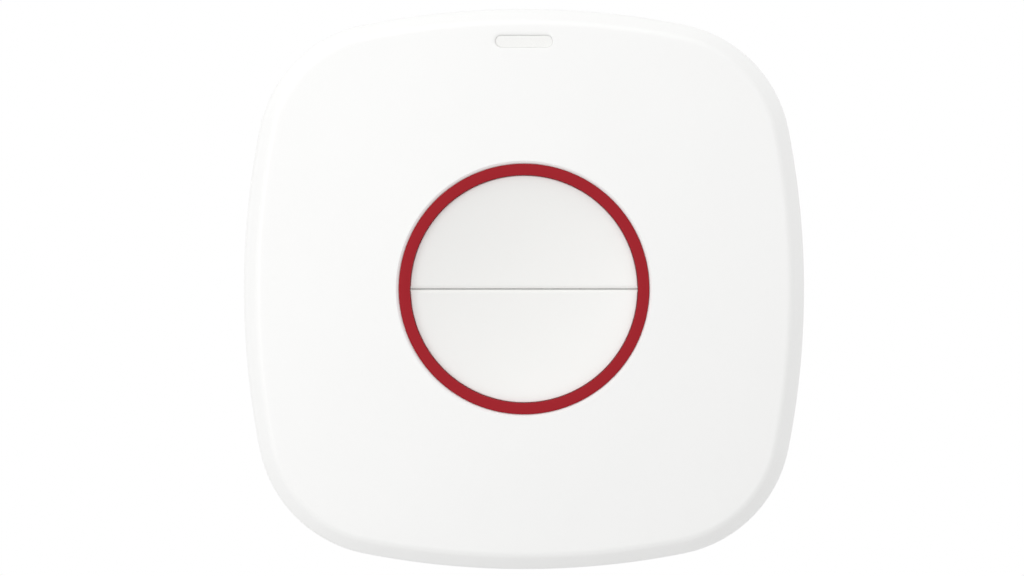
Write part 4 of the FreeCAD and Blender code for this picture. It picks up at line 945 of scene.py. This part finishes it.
def bracket():
    """The whole wall bracket, lying flat."""
    shape = bmesh.new()
    back = outline(shape, plate_inset, 0)
    bmesh.ops.translate(shape, verts=shape.verts, vec=(0, plate_shift, 0))
    plate = bmesh.ops.contextual_create(shape, geom=back)["faces"]
    raised = bmesh.ops.extrude_face_region(shape, geom=plate, use_keep_orig=True)["geom"]
    bmesh.ops.translate(shape, verts=points_in(raised), vec=(0, 0, plate_top))
    bmesh.ops.recalc_face_normals(shape, faces=shape.faces)
    round_off(shape, plate_edge, 4, plate_top)
    round_off(shape, back_edge, 2, 0)
    hooks = bmesh.new()
    for x, foot in hook_places:
        block(hooks, (x - hook_half, foot, plate_top - rooted), (x + hook_half, foot + stem_length, lip_top))
    peg(hooks, 0, bump_y, plate_top - rooted, plate_top + bump_height, bump_radius + bump_slope,
        bump_radius - bump_slope)
    shape = combined(shape, hooks, "UNION")
    lips = bmesh.new()
    for x, foot in hook_places:
        end = foot + stem_length + lip_length
        verts = block(lips, (x - hook_half + hidden, foot + rooted, lip_low),
                      (x + hook_half - hidden, end, lip_top - hidden))
        lead = [edge for edge in edges_among(lips, verts)
                if all(near(vertex.co.y, end) for vertex in edge.verts)]
        bevel(lips, lead, lead_in, 3)
    shape = combined(shape, lips, "UNION")
    cuts = bmesh.new()
    for x, foot in hook_places:
        block(cuts, (x - hook_half, foot + stem_length, -past),
              (x + hook_half, foot + stem_length + lip_length, lip_low - rooted))
    pegs(cuts, ((screw_x, 0), (-screw_x, 0)), -past, plate_top + past, screw_hole)
    block(cuts, (-finger_half, finger_tip, -past), (finger_half, finger_tip + slit, plate_top + past))
    shape = combined(shape, cuts, "DIFFERENCE")
    more = bmesh.new()
    sink_top = screw_hole + sink_width * (1 + rooted / sink_depth)
    for x in (screw_x, -screw_x):
        peg(more, x, 0, plate_top - sink_depth, plate_top + rooted, screw_hole, sink_top)
    for x in (-finger_half, finger_half - slit):
        block(more, (x, finger_tip + slit / 2, -past), (x + slit, finger_root, plate_top + past))
    shape = combined(shape, more, "DIFFERENCE")
    marks = bmesh.new()
    pegs(marks, ejector_places, -past, ejector_depth, ejector_radius)
    peg(marks, 0, gate_y, -past, gate_depth, gate_radius)
    return combined(shape, marks, "DIFFERENCE")


settle(bracket(), "bracket", "wall_bracket")

# %% [markdown]
# ## The battery door
# The door is a bayonet: a disc with three lugs that pass through notches in the rear cover, and then
# turn behind its ledge. The disc is turned whole. Each lug is a rectangle spun through the lug's own
# angle, which is why a lug keeps the same gap to the round ledge everywhere.

# %% Build the door
door_low, door_high = flat_box("battery_door")
door_radius, door_edge, door_steps = 11.8, 0.3, 120
lug_low, lug_reach, lug_angle, lug_steps = 3.25, 1.3, math.radians(28), 10
lug_start = math.radians(135)
coin_slot_half, coin_slot_radius, coin_slot_depth = 5.0, 1.0, 0.8
mark_radius, mark_depth, mark_gap = 0.5, 0.25, 1.4


def door_lug(place):
    """One lug of the door, with its middle at an angle round the axis."""
    inner, outer, top = door_radius - lug_reach / 2, door_radius + lug_reach, door_high.z - hidden
    shape = bmesh.new()
    draw(shape, ((inner, lug_low), (outer, lug_low), (outer, top), (inner, top)), closed=True)
    bmesh.ops.contextual_create(shape, geom=shape.edges[:])
    rotate(shape, shape.verts, place - lug_angle / 2, "Z")
    return turn(shape, lug_steps, lug_angle)


def door():
    """The battery door, lying flat."""
    shape = turned(((0, door_low.z), (door_radius, door_low.z), (door_radius, door_high.z), (0, door_high.z)),
                   door_steps)
    round_off(shape, door_edge, 4, door_low.z, door_radius)
    for number in range(3):
        shape = combined(shape, door_lug(lug_start + number * math.tau / 3), "UNION")
    cuts = bmesh.new()
    slot_block(cuts, 0, coin_slot_half, coin_slot_radius, door_low.z - past, door_low.z + coin_slot_depth)
    mark = Vector((math.cos(lug_start), math.sin(lug_start))) * (door_radius - mark_gap)
    peg(cuts, mark.x, mark.y, door_low.z - past, door_low.z + mark_depth, mark_radius)
    return combined(shape, cuts, "DIFFERENCE")


settle(door(), "bayonet_door", "battery_door")

# %% [markdown]
# ## The coin cell
# A coin cell is two drawn cups, one pressed over the other with a seal between them. Its edges are
# soft, because drawn sheet can't turn a sharp corner, and the smaller cap stands up out of a groove.

# %% Turn the cell
cell_low, cell_high = flat_box("coin_cell")
cell_radius, cell_cap_radius, cell_steps = 10.0, 8.8, 120
cell_edge, cell_cap_edge, cap_step, groove = 0.4, 0.15, 0.3, 0.15
can_top = cell_high.z - cap_step
cell = turned((
    (0, cell_low.z), (cell_radius, cell_low.z), (cell_radius, can_top),
    (cell_cap_radius + cell_edge, can_top), (cell_cap_radius + cell_edge / 2, can_top - groove),
    (cell_cap_radius, can_top - groove), (cell_cap_radius, cell_high.z), (0, cell_high.z)), cell_steps)
round_off(cell, cell_edge, 5, distance=cell_radius)
round_off(cell, cell_cap_edge, 3, cell_high.z, cell_cap_radius)
settle(cell, "lithium_cell", "coin_cell")

# %% [markdown]
# ## The screws
# The screws are rolled, not cut: the thread is pressed up out of the wire, so it is a ridge on a
# thinner core. A small triangle spun round the axis and moved along it at every step draws the ridge.
# The head is turned, its cross is punched, and the finished screw is copied to each of its places.

# %% Build one screw and copy it
core_share, tip_share, head_share, ridge_share = 0.76, 0.3, 0.45, 0.3
ridge_sunk, screw_steps, thread_steps = 0.05, 36, 20


def screw(node, shank, head, head_height, cross, pitch):
    """A self-tapping screw on the axis, as long as its node, with its head towards the wall."""
    low, tip = (corner.z for corner in flat_box(node))
    seat, core = low + head_height, shank * core_share
    shape = turned(((0, low), (head, low), (head, seat), (core, seat), (core, tip - shank),
                    (core * tip_share, tip), (0, tip)), screw_steps)
    round_off(shape, head_height * head_share, 5, low, head)
    long, thin, deep = cross
    for x, y, top in ((long, thin, low + deep), (thin, long, low + deep - hidden)):
        shape = changed(shape, "DIFFERENCE", block, ((-x, -y, low - past), (x, y, top)))
    turns = int((tip - shank - seat - pitch) / pitch)
    first, steps = seat + pitch, turns * thread_steps
    ridge = [shape.verts.new((x, 0, level)) for x, level in (
        (core - ridge_sunk, first - pitch * ridge_share), (shank, first),
        (core - ridge_sunk, first + pitch * ridge_share))]
    face = bmesh.ops.contextual_create(shape, geom=ridge)["faces"]
    bmesh.ops.spin(shape, geom=ridge + face[0].edges[:] + face, cent=(0, 0, 0), axis=(0, 0, 1),
                   dvec=(0, 0, turns * pitch / steps), angle=turns * math.tau, steps=steps)
    return shape


def set_of(shape, places):
    """The same shape at each of several places."""
    one = everything(shape)
    for x, y in places:
        copied = bmesh.ops.duplicate(shape, geom=one)["geom"]
        bmesh.ops.translate(shape, verts=points_in(copied), vec=(x, y, 0))
    bmesh.ops.delete(shape, geom=one, context="VERTS")
    return shape


# The cross is given as the half length, half width and depth of its two cuts.
long_screw = screw("case_screws", shank=1.0, head=1.9, head_height=1.3, cross=(1.2, 0.25, 0.6), pitch=0.8)
settle(set_of(long_screw, case_screw_places), "cover_screws", "case_screws")
short_screw = screw("ring_screws", shank=0.75, head=1.5, head_height=1.0, cross=(0.95, 0.2, 0.5), pitch=0.5)
settle(set_of(short_screw, ring_screw_places), "flange_screws", "ring_screws")

# %% [markdown]
# ## The antenna
# The antenna is a spring of bronze wire that lies on the board, with a leg at each end. Its wire is a
# circle spun round the spring's own axis while it moves along it, and the legs are two pegs.

# %% Wind the antenna
coil_radius, coil_wire, coil_pitch, coil_length = 1.2, 0.3, 1.75, 14.0
coil_x, coil_level = -21.0, board_top + 1.5
wire_steps, wind_steps, leg_steps = 12, 32, 16
coil_turns = int(coil_length / coil_pitch)
coil_steps = coil_turns * wind_steps
coil = bmesh.new()
bmesh.ops.create_circle(coil, cap_ends=True, segments=wire_steps, radius=coil_wire,
                        matrix=Matrix.Translation((coil_x + coil_radius, -coil_length / 2, coil_level)))
bmesh.ops.spin(coil, geom=everything(coil), cent=(coil_x, 0, coil_level), axis=(0, 1, 0),
               dvec=(0, coil_length / coil_steps, 0), angle=coil_turns * math.tau, steps=coil_steps)
for end in (-coil_length / 2, coil_length / 2):
    peg(coil, coil_x + coil_radius, end, board_top, coil_level + coil_wire * 0.6, coil_wire, steps=leg_steps)
settle(coil, "antenna_spring", "antenna_coil")
